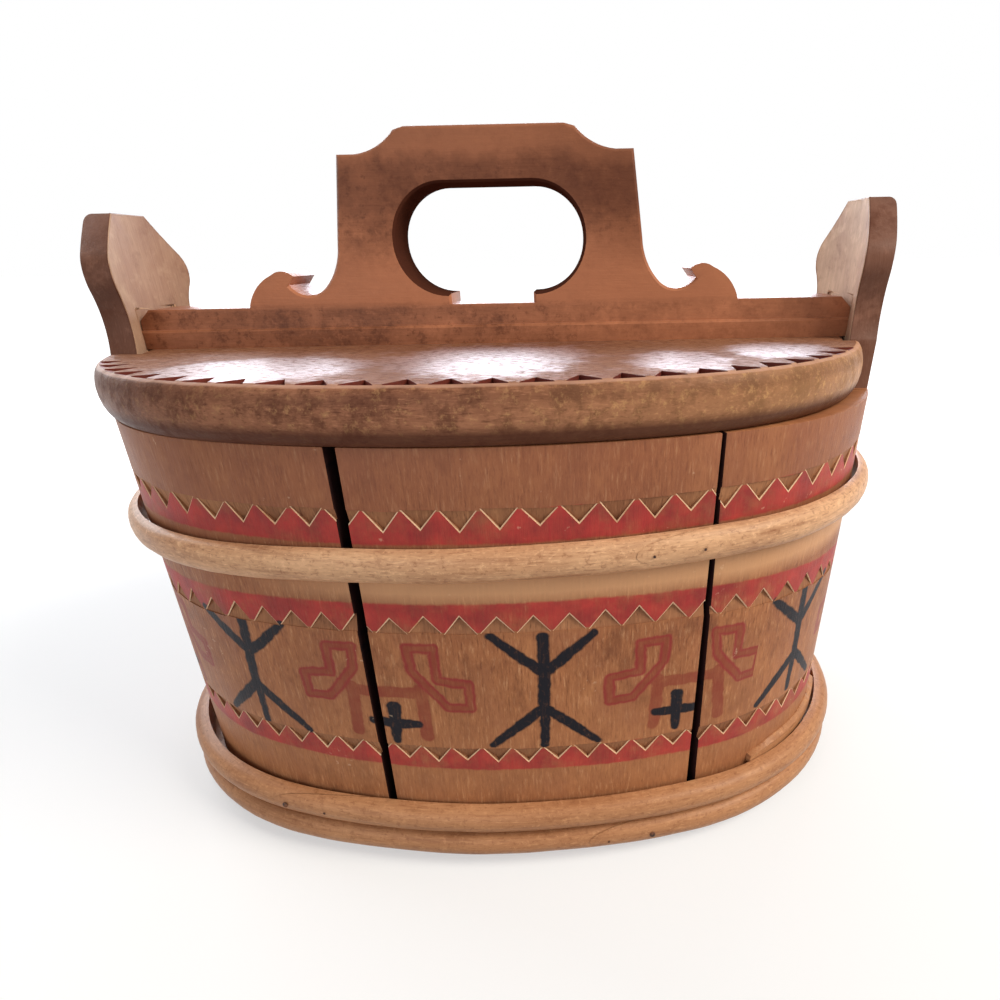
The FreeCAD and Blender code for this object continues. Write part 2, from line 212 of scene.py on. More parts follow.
def add_bevel(piece, width, segments=2):
    """Give a piece a rounding of its edges, not applied yet."""
    bevel = piece.modifiers.new("Soft edges", "BEVEL")
    bevel.width = width
    bevel.segments = segments
    bevel.limit_method = "ANGLE"
    bevel.angle_limit = math.radians(BEVEL_ANGLE)
    bevel.use_clamp_overlap = True
    bevel.miter_outer = "MITER_ARC"
    return bevel


def cut_by(piece, cutter):
    """Cut a piece with a cutter, whose material stays on the cut faces, and delete the cutter."""
    cut = piece.modifiers.new("Cut", "BOOLEAN")
    cut.operation = "DIFFERENCE"
    cut.solver = "EXACT"
    cut.object = cutter
    cut.material_mode = "TRANSFER"
    apply_modifiers(piece)
    mesh = cutter.data
    bpy.data.objects.remove(cutter)
    bpy.data.meshes.remove(mesh)


def reshade(piece, sharp=SHARP_ANGLE):
    """Merge a cut piece's doubled points and mark its sharp edges afresh."""
    bm = bmesh.new()
    bm.from_mesh(piece.data)
    bmesh.ops.remove_doubles(bm, verts=bm.verts, dist=CUT_WELD)
    shade(bm, sharp)
    bm.to_mesh(piece.data)
    bm.free()


def lay_wall_map(piece, left_end=False):
    """UV map with metres round the wall and metres up, for grain and paint."""
    mesh = piece.data
    layer = mesh.uv_layers.get(WALL_MAP) or mesh.uv_layers.new(name=WALL_MAP)
    for loop in mesh.loops:
        place = mesh.vertices[loop.vertex_index].co
        layer.data[loop.index].uv = (wall_along(place.x, place.y, left_end), place.z)


# ---- material nodes -----------------------------------------------------------------------
class Wiring:
    """Short ways to add and join nodes."""

    def __init__(self, tree):
        self.tree = tree

    def add(self, kind, inputs=None, **settings):
        node = self.tree.nodes.new(kind)
        for key, value in settings.items():
            setattr(node, key, value)
        for key, value in (inputs or {}).items():
            self.feed(node.inputs[key], value)
        return node

    def feed(self, socket, value):
        if isinstance(value, bpy.types.NodeSocket):
            self.tree.links.new(value, socket)
        else:
            socket.default_value = value

    def math(self, operation, a, b=None, c=None, clamp=False):
        node = self.add("ShaderNodeMath", operation=operation, use_clamp=clamp)
        for index, value in enumerate((a, b, c)):
            if value is not None:
                self.feed(node.inputs[index], value)
        return node.outputs[0]

    def mix(self, share, a, b):
        node = self.add("ShaderNodeMix", data_type="RGBA", clamp_factor=True)
        self.feed(node.inputs[0], share)
        self.feed(node.inputs[6], a)
        self.feed(node.inputs[7], b)
        return node.outputs[2]

    def tint(self, colour, tone, value, low, high, share, smooth=False):
        """Mix in none of a tone where the value is low, and a share of it where it is high."""
        return self.mix(self.span(value, low, high, 0.0, share, smooth), colour, tone)

    def span(self, value, low, high, to_low=0.0, to_high=1.0, smooth=False):
        node = self.add("ShaderNodeMapRange", clamp=True,
                        interpolation_type="SMOOTHSTEP" if smooth else "LINEAR")
        for key, item in (("Value", value), ("From Min", low), ("From Max", high),
                          ("To Min", to_low), ("To Max", to_high)):
            self.feed(node.inputs[key], item)
        return node.outputs[0]

    def noise(self, vector, scale, detail=2.0, roughness=0.5, distortion=0.0):
        node = self.add("ShaderNodeTexNoise", {"Vector": vector, "Scale": scale, "Detail": detail,
                                               "Roughness": roughness, "Distortion": distortion})
        return node.outputs["Fac"]

    def vector(self, x, y, z):
        return self.add("ShaderNodeCombineXYZ", {"X": x, "Y": y, "Z": z}).outputs[0]

    def parts(self, vector):
        return self.add("ShaderNodeSeparateXYZ", {"Vector": vector}).outputs

    def drawn_out(self, x, y, times, z=0.0):
        """A place whose noise is drawn out that many times along Y."""
        return self.vector(x, self.math("DIVIDE", y, times), z)

    def stray(self, value, reach):
        """A noise value as an offset to both sides, half of the reach to each."""
        return self.math("MULTIPLY", self.math("SUBTRACT", value, 0.5), reach)

    def between(self, value, low, high, soft_low, soft_high):
        """1 from one level up to another, with a soft edge at each."""
        return self.math("MULTIPLY", self.span(value, low - soft_low, low + soft_low),
                         self.span(value, high + soft_high, high - soft_high))


def new_group(name, inputs, outputs):
    """A shader node group's wiring, with its named input and output sockets."""
    group = bpy.data.node_groups.new(name, "ShaderNodeTree")
    for label, kind, default in inputs:
        socket = group.interface.new_socket(name=label, in_out="INPUT", socket_type=kind)
        if default is not None:
            socket.default_value = default
    for label, kind in outputs:
        group.interface.new_socket(name=label, in_out="OUTPUT", socket_type=kind)
    w = Wiring(group)
    return w, w.add("NodeGroupInput").outputs, w.add("NodeGroupOutput").inputs


FLOAT, VECTOR = "NodeSocketFloat", "NodeSocketVector"


def grain_group():
    """Fibres, year lines, pores, flecks and clouds, each from 0 to 1. Y runs along the grain."""
    w, given, out = new_group(
        "Wood grain",
        (("Vector", VECTOR, None), ("Line spacing", FLOAT, 3.5 * MM), ("Stretch", FLOAT, 14.0),
         ("Seed", FLOAT, 0.0)),
        (("Fibre", FLOAT), ("Year line", FLOAT), ("Pore", FLOAT), ("Fleck", FLOAT),
         ("Cloud", FLOAT)))
    part = w.parts(given["Vector"])
    x, y, z = part["X"], part["Y"], part["Z"]
    stretched = w.drawn_out(w.math("ADD", x, given["Seed"]), y, given["Stretch"], z)
    fine = w.noise(stretched, 1500.0, 4.0, 0.65)
    broad = w.noise(stretched, 330.0, 3.0, 0.55)
    w.feed(out["Fibre"], w.span(w.math("ADD", w.math("MULTIPLY", fine, 0.6),
                                       w.math("MULTIPLY", broad, 0.4)), 0.3, 0.7))

    bend = w.stray(w.noise(stretched, 60.0, 2.0), 14.0 * MM)
    phase = w.math("DIVIDE", w.math("ADD", w.math("ADD", x, bend), w.math(
        "MULTIPLY", given["Seed"], 0.31)), given["Line spacing"])
    line = w.math("POWER", w.math("FRACT", phase), 3.0)
    w.feed(out["Year line"], w.math("MULTIPLY", line, w.span(broad, 0.3, 0.6)))

    dots = w.noise(w.drawn_out(w.math("ADD", x, 0.37), y, 9.0, z), 1900.0, 2.0, 0.5)
    gathered = w.noise(w.drawn_out(x, y, 9.0, z), 160.0, 2.0)
    w.feed(out["Pore"], w.math("MULTIPLY", w.span(dots, 0.66, 0.74),
                               w.span(gathered, 0.45, 0.6)))
    w.feed(out["Fleck"], w.noise(w.drawn_out(x, y, 7.0, z), 2100.0, 2.0, 0.6))
    w.feed(out["Cloud"], w.noise(w.vector(x, w.math("MULTIPLY", y, 0.45), z), 34.0, 5.0, 0.62))


def stroke_group():
    """How far a place on a map lies from a straight stroke, in metres."""
    w, given, out = new_group(
        "Brush stroke",
        (("Place", VECTOR, None), ("Start", VECTOR, (0, 0, 0)), ("End", VECTOR, (0, 0, 0)),
         ("Taper", FLOAT, 0.0), ("Before", FLOAT, 1.0)),
        (("Distance", FLOAT),))

    def vectors(operation, a, b):
        return w.add("ShaderNodeVectorMath", {0: a, 1: b}, operation=operation).outputs

    reach = vectors("SUBTRACT", given["Place"], given["Start"])[0]
    run = vectors("SUBTRACT", given["End"], given["Start"])[0]
    share = w.math("DIVIDE", vectors("DOT_PRODUCT", reach, run)["Value"],
                   vectors("DOT_PRODUCT", run, run)["Value"], clamp=True)
    foot = w.add("ShaderNodeVectorMath", {0: run, "Scale": share}, operation="SCALE").outputs[0]
    gap = vectors("DISTANCE", reach, foot)["Value"]
    thin = w.math("MULTIPLY", w.span(share, 0.45, 1.0), given["Taper"])
    w.feed(out["Distance"], w.math("MINIMUM", w.math("ADD", gap, thin), given["Before"]))


def wear_group():
    """Small pale chips in the finish and larger patches of grime, each a mask."""
    w, given, out = new_group("Wear", (("Vector", VECTOR, None), ("Amount", FLOAT, 0.5)),
                              (("Worn", FLOAT), ("Grime", FLOAT)))
    patch = w.noise(given["Vector"], 55.0, 4.0, 0.6)
    spot = w.noise(given["Vector"], 420.0, 3.0, 0.6)
    mixed = w.math("ADD", w.math("MULTIPLY", patch, 0.45), w.math("MULTIPLY", spot, 0.55))
    edge = w.math("SUBTRACT", 0.78, w.math("MULTIPLY", given["Amount"], 0.16))
    w.feed(out["Worn"], w.span(mixed, w.math("SUBTRACT", edge, 0.10),
                               w.math("SUBTRACT", edge, 0.06)))
    w.feed(out["Grime"], w.span(w.noise(given["Vector"], 34.0, 4.0, 0.62, 0.4), 0.42, 0.72))


def srgb(red, green, blue):
    """A colour written in 0 to 255 screen values, as linear light."""
    def linear(value):
        value /= 255.0
        return value / 12.92 if value <= 0.04045 else ((value + 0.055) / 1.055) ** 2.4
    return (linear(red), linear(green), linear(blue), 1.0)


def new_material(name):
    """A new material, its wiring and the inputs of its shader."""
    material = bpy.data.materials.new(name)
    material.use_nodes = True
    tree = material.node_tree
    shader = tree.nodes["Principled BSDF"]
    return material, Wiring(tree), shader.inputs


def grouped(w, name, **inputs):
    """The outputs of a shared group, its inputs named with underscores for spaces."""
    node = w.add("ShaderNodeGroup", node_tree=bpy.data.node_groups[name])
    for key, value in inputs.items():
        w.feed(node.inputs[key.replace("_", " ")], value)
    return node.outputs


RELIEF = 0.25 * MM              # how high the woods' surface stands at most


def bump(w, sockets, height, strength, distance):
    """Shade a surface as if it rose with a height from 0 to 1."""
    node = w.add("ShaderNodeBump", {"Height": height, "Strength": strength, "Distance": distance})
    w.feed(sockets["Normal"], node.outputs[0])


def finish(w, sockets, colour, roughness, relief, strength, specular):
    """Give a wood its colour, its sheen and its relief."""
    w.feed(sockets["Base Color"], colour)
    w.feed(sockets["Roughness"], roughness)
    bump(w, sockets, relief, strength, RELIEF)
    sockets["Specular IOR Level"].default_value = specular


# How object space turns so that its Y runs along a piece's grain.
GRAIN_ALONG_X = (0.0, 0.0, math.pi / 2.0)
GRAIN_UP = (math.pi / 2.0, 0.0, 0.0)
GRAIN_OF_HANDLE = (math.pi / 2.0, 0.0, math.pi / 2.0)


def wall_place(w):
    """The place on the wall's map: metres round it and metres up."""
    return w.add("ShaderNodeUVMap", uv_map=WALL_MAP).outputs[0]


def object_place(w):
    """The place in the object's own space, in metres."""
    return w.add("ShaderNodeTexCoord").outputs["Object"]


def turned(w, source, turn):
    """A place turned so that its Y runs along the grain."""
    return w.add("ShaderNodeMapping", {"Vector": source, "Rotation": turn}).outputs[0]


def fibre_relief(w, grain):
    """Height of the wood's surface: raised fibres and sunk pores."""
    return w.math("MULTIPLY_ADD", grain["Fibre"], 0.5, w.math("MULTIPLY", grain["Pore"], -0.8))


def clouded(w, grain, low, high):
    """A value that drifts from low to high with the wood's clouds."""
    return w.span(grain["Cloud"], 0.3, 0.7, low, high)


def wood_tones(w, where, tones, spacing, stretch=14.0, seed=0.3, amount=0.6, marks=1.0):
    """Colour of any of the woods, from its dark, middle and light tones, and the masks in it."""
    dark, mid, light = tones
    grain = grouped(w, "Wood grain", Vector=where, Line_spacing=spacing, Stretch=stretch,
                    Seed=seed)
    wear = grouped(w, "Wear", Vector=where, Amount=amount)
    colour = w.mix(w.span(grain["Cloud"], 0.32, 0.68), mid, light)
    colour = w.mix(w.math("MULTIPLY", w.math("SUBTRACT", 1.0, grain["Fibre"]), 0.3 + 0.12 * marks),
                   colour, dark)
    colour = w.mix(w.math("MULTIPLY", grain["Year line"], 0.16), colour, dark)
    colour = w.mix(w.math("MULTIPLY", grain["Pore"], 0.5 * marks), colour, dark)
    colour = w.mix(w.math("MULTIPLY", wear["Grime"], 0.5 - 0.15 * marks), colour, dark)
    colour = w.tint(colour, dark, grain["Fleck"], 0.42, 0.28, 0.6 * marks)
    colour = w.tint(colour, light, grain["Fleck"], 0.56, 0.74, 0.7 * marks)
    return colour, grain, wear


def blotched(w, colour, where, tones, share):
    """Colour with handled, uneven patches of its dark and light tones."""
    patch = w.noise(where, 95.0, 6.0, 0.68)
    colour = w.tint(colour, tones[0], patch, 0.46, 0.30, share)
    return w.tint(colour, tones[2], patch, 0.54, 0.70, share)


# ---- the painted wall ---------------------------------------------------------------------
# One figure set is a tree and, to its right, a pair of boots; this is where each tree is.
TREES = [value * MM for value in (-142.0, -63.3, 14.6, 89.4, 161.0, 224.9, 302.8, 377.6)]
SET_START = -16.0 * MM          # where a set begins, left of its tree
PAIR_OFFSET = 37.9 * MM         # from a tree to its boots
CROSS_NUDGES = [value * MM for value in (0.0, 1.3, -3.2, 0.6, 0.0, 1.0, -2.0, 0.5)]

# Half of a tree and half of a boot pair, from their own middle lines: (x, z) in millimetres.
TREE_STROKES = (((0.0, 73.2), (0.1, 39.4)), ((0.0, 62.4), (12.6, 73.4)),
                ((0.0, 51.8), (13.4, 39.6)))
BOOT_STROKES = (((6.8, 69.4), (13.6, 69.1)), ((13.6, 69.1), (13.9, 60.4)),
                ((13.9, 60.4), (21.8, 59.2)), ((21.8, 59.2), (21.7, 52.0)),
                ((21.7, 52.0), (15.8, 52.2)), ((15.8, 52.2), (7.6, 62.6)),
                ((7.6, 62.6), (6.8, 69.4)))
STEM_STROKES = (((0.0, 56.0), (8.6, 56.0)), ((9.0, 57.0), (9.7, 42.0)))
PLUS_STROKES = (((0.3, 51.4), (0.0, 40.2)), ((0.0, 45.8), (6.2, 46.0)))
FIGURE_SLOPE = 0.012            # how much lower the figures stand, per metre from the left end
FIGURE_LIFT = 1.5 * MM

# The chips of the three bands, in mm at the middle of the front: their points, their base line.
BAND_LEVELS = ((101.9, 106.6), (78.6, 74.2), (34.2, 38.4))
# What the paint covers of each band, there too: low, high, and how soft either edge is.
BAND_PAINT = ((98.0, 106.3, 0.3, 0.1), (74.5, 82.4, 0.1, 0.3), (31.1, 38.1, 0.3, 0.1))
# The first band slopes and bows, the second sinks to both sides of a top, the third slopes.
FIRST_SLOPE, FIRST_BOW = 0.012, 0.00012
SECOND_TOP, SECOND_BOW, SECOND_LEFT, SECOND_RIGHT = 20.0, -0.0012, 0.14, 0.45
THIRD_SLOPE = -0.022
# Between these places, near the middle of each ear, the lines of front and back meet.
MEET_START, MEET_END = 112.0, 140.0
BANDS_MEET = (2.6, -6.4, 0.0)   # how much higher each band is where they have met, in mm

CHIP_PITCHES = (8.6, 8.5, 7.9)  # of each band, in millimetres
CHIP_SHALLOW = 0.22 * MM        # how deep a chip is at its two outer corners
CUTTER_REACH = 1.5 * MM         # how far a cutter stands out of the wood
ARRIS_DEPTH = 0.16 * MM         # how deep the worn wood round a chip is cut


def side_place(along):
    """A place round the wall as one from the middle of its own side, front or back."""
    while along > FOOT.quarter:
        along -= HALF_ROUND
    while along < -FOOT.quarter:
        along += HALF_ROUND
    return along


def band_lines(along):
    """Heights of the three bands' (points, base line) at a place round the wall, in mm."""
    at = side_place(along) / MM
    rises = (FIRST_SLOPE * at + FIRST_BOW * at * at,
             SECOND_BOW * (at - SECOND_TOP) ** 2 * (SECOND_RIGHT if at > SECOND_TOP
                                                    else SECOND_LEFT),
             THIRD_SLOPE * at)
    meet = min(1.0, max(0.0, (abs(at) - MEET_START) / (MEET_END - MEET_START)))
    meet *= meet * (3.0 - 2.0 * meet)
    return [[level + (rise + (end - rise) * meet) for level in levels]
            for levels, rise, end in zip(BAND_LEVELS, rises, BANDS_MEET)]


def chip_plan(band):
    """Every chip of a band: (place round, width, height of its base, of its point), in metres."""
    count = round(FULL_ROUND / (CHIP_PITCHES[band] * MM))
    step = FULL_ROUND / count
    dice = random.Random(40 + band)
    for index in range(count):
        along = -FOOT.quarter + step * (index + 0.5 + dice.uniform(-0.02, 0.02))
        point, base = band_lines(along)[band]
        yield (along, step * dice.uniform(0.86, 0.90), (base + dice.uniform(-0.25, 0.25)) * MM,
               (point + dice.uniform(-0.5, 0.5)) * MM)


def add_wedge(bm, top, bottom):
    """A three-sided cutter between two triangles, drawn out from the first one."""
    corners = [bm.verts.new(place) for place in top]
    face = bm.faces.new(corners)
    drawn = bmesh.ops.extrude_face_region(bm, geom=[face])["geom"]
    new = [item for item in drawn if isinstance(item, bmesh.types.BMVert)]
    for place, old in zip(bottom, top):
        vert = min(new, key=lambda item: (item.co - old).length)
        vert.co = place
        new.remove(vert)


def wall_chips(low, high, material, depth, rim):
    """One cutter with every chip between two places round the wall, each grown by a rim."""
    bm = bmesh.new()
    shallow = min(depth, CHIP_SHALLOW)
    for band in range(len(BAND_LEVELS)):
        for along, width, base, point in chip_plan(band):
            if not low - width < along < high + width:
                continue
            half = width / 2.0 + 0.9 * rim
            point += math.copysign(1.5 * rim, point - base)
            spots = ((along - half, base, shallow), (along + half, base, shallow),
                     (along, point, depth))
            add_wedge(bm, [wall_point(place, z, CUTTER_REACH)[0] for place, z, _ in spots],
                      [wall_point(place, z, -deep)[0] for place, z, deep in spots])
    bmesh.ops.recalc_face_normals(bm, faces=bm.faces)
    return new_object("wall_chips", bm, [material])


def figures(w, where, along, up):
    """Masks for the figures: black strokes, red strokes and the red strokes' darker rims."""
    ragged = w.stray(w.noise(where, 420.0, 3.0), 1.1 * MM)
    slow = w.add("ShaderNodeTexNoise", {"Vector": where, "Scale": 30.0, "Detail": 1.0})
    slow_part = w.add("ShaderNodeSeparateColor", {"Color": slow.outputs["Color"]}).outputs
    along = w.math("ADD", along, w.stray(slow_part[0], 3.2 * MM))
    up = w.math("ADD", up, w.stray(slow_part[1], 3.2 * MM))
    start, nudge = TREES[0], CROSS_NUDGES[0]
    for index, tree in enumerate(TREES[1:], 1):
        passed = w.math("GREATER_THAN", along, tree + SET_START)
        start = w.math("MULTIPLY_ADD", passed, tree - TREES[index - 1], start)
        nudge = w.math("MULTIPLY_ADD", passed, CROSS_NUDGES[index] - CROSS_NUDGES[index - 1],
                       nudge)
    local = w.math("SUBTRACT", along, start)
    round_side = w.math("PINGPONG", w.math("ADD", along, FOOT.quarter), HALF_ROUND)
    up = w.math("SUBTRACT", w.math("MULTIPLY_ADD", round_side, FIGURE_SLOPE, up), FIGURE_LIFT)

    def shape(from_middle, strokes, taper=0.0):
        place = w.vector(w.math("ABSOLUTE", from_middle), up, 0.0)
        near = 1.0
        for first, last in strokes:
            near = grouped(w, "Brush stroke", Place=place,
                           Start=(first[0] * MM, first[1] * MM, 0.0),
                           End=(last[0] * MM, last[1] * MM, 0.0), Taper=taper * MM,
                           Before=near)["Distance"]
        return near

    def mask(near, half, soft):
        return w.span(w.math("ADD", near, ragged), (half + soft) * MM, (half - soft) * MM)

    from_pair = w.math("SUBTRACT", local, PAIR_OFFSET)
    tree = shape(local, TREE_STROKES, 0.45)
    plus = shape(w.math("SUBTRACT", from_pair, nudge), PLUS_STROKES, 0.3)
    boots, stems = shape(from_pair, BOOT_STROKES), shape(from_pair, STEM_STROKES)
    black = w.math("MAXIMUM", mask(tree, 1.5, 0.25), mask(plus, 1.6, 0.25))
    red = w.math("MAXIMUM", mask(boots, 1.3, 0.25), mask(stems, 1.75, 0.25))
    rim = w.math("MULTIPLY", mask(boots, 1.5, 0.3),
                 w.math("SUBTRACT", 1.0, mask(boots, 0.75, 0.35)))
    return black, red, rim


def weathered(w, c, colour, along, up, cloud):
    """A stave's wood with streaks, ruddy and pale patches, redder and darker high on the wall as
    painted shade of the lid, and paler low down as painted light.
    """
    streak = w.noise(w.drawn_out(along, up, 8.0), 1300.0, 4.0, 0.7)
    colour = w.tint(colour, c.stave_dark, streak, 0.45, 0.30, 0.7)
    colour = w.tint(colour, c.stave_pale, streak, 0.55, 0.70, 0.6)
    ruddy = w.noise(w.drawn_out(along, up, 2.0), 62.0, 4.0, 0.6)
    colour = w.tint(colour, c.ruddy_and_lid_shade, ruddy, 0.46, 0.66, 0.5)
    blotch = w.noise(w.drawn_out(along, up, 1.6, 3.0), 105.0, 5.0, 0.68)
    colour = w.tint(colour, c.stave_dark, blotch, 0.46, 0.30, 0.55)
    colour = w.tint(colour, c.stave_light, blotch, 0.55, 0.72, 0.5)
    height = w.math("ADD", up, w.stray(cloud, 60.0 * MM))
    # Painted shade: the wall is redder and darker high up, under the lid.
    colour = w.tint(colour, c.ruddy_and_lid_shade, height, 68.0 * MM, 105.0 * MM, 0.5, smooth=True)
    # Painted light: the wall is paler low down.
    colour = w.tint(colour, c.stave_light, height, 70.0 * MM, 30.0 * MM, 0.3, smooth=True)
    return colour, streak


def band_rises(w, turn):
    """How much higher each band is at a place from its side's middle, as band_lines has it."""
    first = w.math("MULTIPLY_ADD", w.math("MULTIPLY", turn, turn), FIRST_BOW / MM,
                   w.math("MULTIPLY", turn, FIRST_SLOPE))
    off = w.math("SUBTRACT", turn, SECOND_TOP * MM)
    share = w.math("MULTIPLY_ADD", w.math("GREATER_THAN", off, 0.0),
                   SECOND_RIGHT - SECOND_LEFT, SECOND_LEFT)
    second = w.math("MULTIPLY", w.math("MULTIPLY", w.math("MULTIPLY", off, off),
                                       SECOND_BOW / MM), share)
    third = w.math("MULTIPLY", turn, THIRD_SLOPE)
    meet = w.span(w.math("ABSOLUTE", turn), MEET_START * MM, MEET_END * MM, smooth=True)
    return [w.math("MULTIPLY_ADD", w.math("SUBTRACT", end * MM, rise), meet, rise)
            for rise, end in zip((first, second, third), BANDS_MEET)]


def painted_wood(name, c):
    """Outer face of the staves: vertical grain, three red bands and the painted figures, with
    painted light as a pale strip under the middle hoop.
    """
    material, w, sockets = new_material(name)
    spot = wall_place(w)
    part = w.parts(spot)
    along, up = part["X"], part["Y"]
    colour, grain, wear = wood_tones(w, spot, (c.stave_dark, c.stave, c.stave_light),
                                     spacing=4.2 * MM, stretch=16.0, seed=0.0, amount=0.3)
    colour, streak = weathered(w, c, colour, along, up, grain["Cloud"])

    turn = w.math("SUBTRACT", w.math("MODULO", w.math("ADD", along, FOOT.quarter + FULL_ROUND),
                                     HALF_ROUND), FOOT.quarter)
    height = w.math("ADD", up, w.stray(w.noise(spot, 60.0, 1.0), 1.0 * MM))
    edge = w.stray(w.noise(spot, 500.0, 2.0), 0.7 * MM)

    def band(rise, low, high, soft_low, soft_high):
        level = w.math("ADD", w.math("SUBTRACT", height, rise), edge)
        return w.between(level, low * MM, high * MM, soft_low * MM, soft_high * MM)

    # Painted light: a pale strip just under the middle hoop, on the middle and right of each side.
    painted_light_under_hoop = w.math("MULTIPLY", band(0.0, 83.0, 92.0, 2.0, 2.0),
                   w.span(turn, -60.0 * MM, -20.0 * MM, 0.0, 0.75))
    colour = w.mix(painted_light_under_hoop, colour, c.stave_pale)
    bands = 0.0
    for rise, paint in zip(band_rises(w, turn), BAND_PAINT):
        bands = w.math("MAXIMUM", band(rise, *paint), bands)
    rubbed = w.span(w.noise(spot, 75.0, 5.0, 0.65), 0.5, 0.68, 0.0, 0.5)
    thin = w.math("SUBTRACT", w.math("MULTIPLY_ADD", grain["Fibre"], 0.25, 0.73), rubbed,
                  clamp=True)
    red_paint = w.mix(w.span(w.noise(spot, 120.0, 4.0, 0.6), 0.35, 0.65), c.red, c.red_dark)
    colour = w.mix(w.math("MULTIPLY", bands, thin), colour, red_paint)

    black, red, rim = figures(w, spot, along, up)
    fade = w.span(w.noise(spot, 150.0, 3.0, 0.6), 0.3, 0.62, 0.5, 0.85)
    colour = w.mix(w.math("MULTIPLY", red, fade), colour, c.boot)
    colour = w.mix(w.math("MULTIPLY", rim, 0.7), colour, c.red_dark)
    dry = w.noise(w.drawn_out(along, up, 2.0, 5.0), 900.0, 4.0, 0.7)
    ink = w.math("MULTIPLY", w.math("MULTIPLY", black, w.span(dry, 0.54, 0.72, 1.0, 0.84)),
                 w.span(grain["Fibre"], 0.0, 0.35, 0.9, 1.0))
    colour = w.mix(ink, colour, c.black)
    colour = w.mix(w.math("MULTIPLY", wear["Worn"], 0.28), colour, c.worn)

    relief = w.math("ADD", fibre_relief(w, grain), w.math("MULTIPLY_ADD", bands, 0.25, streak))
    finish(w, sockets, colour, clouded(w, grain, 0.36, 0.55), relief, 0.4, 0.15)
    return material


def plain_wood(name, tones, turn=None, seed=0.3, roughness=(0.4, 0.6), specular=0.15, marks=1.0,
               blotches=0.0):
    """Plain wood. Its grain runs up the wall's map, or along the turned Y of object space."""
    material, w, sockets = new_material(name)
    where = turned(w, object_place(w), turn) if turn else wall_place(w)
    colour, grain, _ = wood_tones(w, where, tones, spacing=3.6 * MM, seed=seed, marks=marks)
    if blotches:
        colour = blotched(w, colour, where, tones, blotches)
    finish(w, sockets, colour, clouded(w, grain, *roughness), fibre_relief(w, grain), 0.4,
           specular)
    return material


def ear_wood(name, c):
    """Inner face of an ear: pale and handled above the rim, as brown as the wall below it. The pale
    tone is partly painted light, and the left ear is darkened by painted shade.
    """
    material, w, sockets = new_material(name)
    spot = wall_place(w)
    tones = (c.ear_dark, c.ear, c.worn)
    colour, grain, _ = wood_tones(w, spot, tones, spacing=3.6 * MM, seed=1.1, marks=0.4)
    colour = blotched(w, colour, spot, tones, 0.6)
    height = w.math("ADD", w.parts(spot)["Y"], w.stray(w.noise(spot, 90.0, 4.0), 8.0 * MM))
    wall = w.mix(w.math("MULTIPLY", w.math("SUBTRACT", 1.0, grain["Fibre"]), 0.4),
                 c.stave, c.stave_dark)
    colour = w.mix(w.span(height, WALL_HEIGHT + 10.0 * MM, WALL_HEIGHT, smooth=True), colour, wall)
    # Painted shade: the left ear's inner face is darker than the right one's.
    x = w.parts(object_place(w))["X"]
    colour = w.tint(colour, c.ear_dark, x, 50.0 * MM, -50.0 * MM, 0.42)
    finish(w, sockets, colour, clouded(w, grain, 0.35, 0.5), fibre_relief(w, grain), 0.4, 0.06)
    return material


# Where the lid's varnish is still whole and catches the light, and where a painted reflection tints
# it: (x, y, half length, half width), mm.
WHOLE_VARNISH = ((-52.0, -58.0, 33.0, 26.0), (2.0, -46.0, 33.0, 38.0), (49.0, -56.0, 15.0, 22.0),
                 (78.0, -40.0, 17.0, 20.0), (-62.0, 40.0, 30.0, 22.0), (-6.0, 54.0, 36.0, 20.0),
                 (56.0, 44.0, 26.0, 24.0))


def whole_varnish(w, source, x, y):
    """A mask of the glossy patches and their painted reflection, 1 well inside them."""
    inside = 0.0
    for middle_x, middle_y, long, wide in WHOLE_VARNISH:
        spot = w.vector(w.math("DIVIDE", w.math("SUBTRACT", x, middle_x * MM), long * MM),
                        w.math("DIVIDE", w.math("SUBTRACT", y, middle_y * MM), wide * MM), 0.0)
        reach = w.add("ShaderNodeVectorMath", {0: spot}, operation="LENGTH").outputs["Value"]
        inside = w.math("MAXIMUM", w.math("SUBTRACT", 1.0, reach), inside)
    ragged = w.stray(w.noise(source, 120.0, 4.0, 0.6), 0.9)
    return w.span(w.math("ADD", inside, ragged), 0.02, 0.42, smooth=True)


def lid_top_wood(name, c):
    """Top of the lid: dark varnish, dented and scratched, glossy where it is whole, and tinted pale
    bluish there by a painted reflection.
    """
    material, w, sockets = new_material(name)
    source = object_place(w)
    colour, grain, _ = wood_tones(w, turned(w, source, GRAIN_ALONG_X),
                                  (c.lid_dark, c.lid, c.lid_light), spacing=5.0 * MM)
    part = w.parts(source)
    whole = whole_varnish(w, source, part["X"], part["Y"])
    marks = w.noise(w.vector(w.math("DIVIDE", part["X"], 3.0), part["Y"], 0.0), 1100.0, 3.0, 0.7)
    bite = w.span(marks, 0.50, 0.58)
    colour = w.mix(w.math("MULTIPLY", bite, 0.45), colour, c.lid_dark)
    # Painted reflection: the glossy patches are tinted pale bluish, less where scratched.
    painted_reflection = w.math("MULTIPLY", whole, w.span(bite, 0.0, 1.0, 0.14, 0.02))
    w.feed(sockets["Base Color"], w.mix(painted_reflection, colour, c.painted_reflection))
    w.feed(sockets["Roughness"], w.math("MULTIPLY_ADD", bite, 0.2,
                                        w.span(whole, 0.0, 1.0, 0.55, 0.3)))
    w.feed(sockets["Coat Weight"], w.math("MULTIPLY", whole, w.span(bite, 0.0, 1.0, 1.0, 0.1)))
    height = w.math("ADD", w.math("MULTIPLY", grain["Fibre"], 0.3),
                    w.math("MULTIPLY", bite, -0.6))
    dents = w.math("MULTIPLY_ADD", w.noise(source, 90.0, 2.0), 3.0, height)
    bump(w, sockets, dents, 0.6, 0.3 * MM)
    sockets["Specular IOR Level"].default_value = 0.15
    sockets["Coat Roughness"].default_value = 0.42
    sockets["Coat IOR"].default_value = 1.7
    return material


# Heights on the handle board that its wear follows.
RIB_TOP = 146.0 * MM
HOLE_TOP = 174.0 * MM
GRIP_SHOULDER = 186.0 * MM      # from here up the grip is rubbed pale


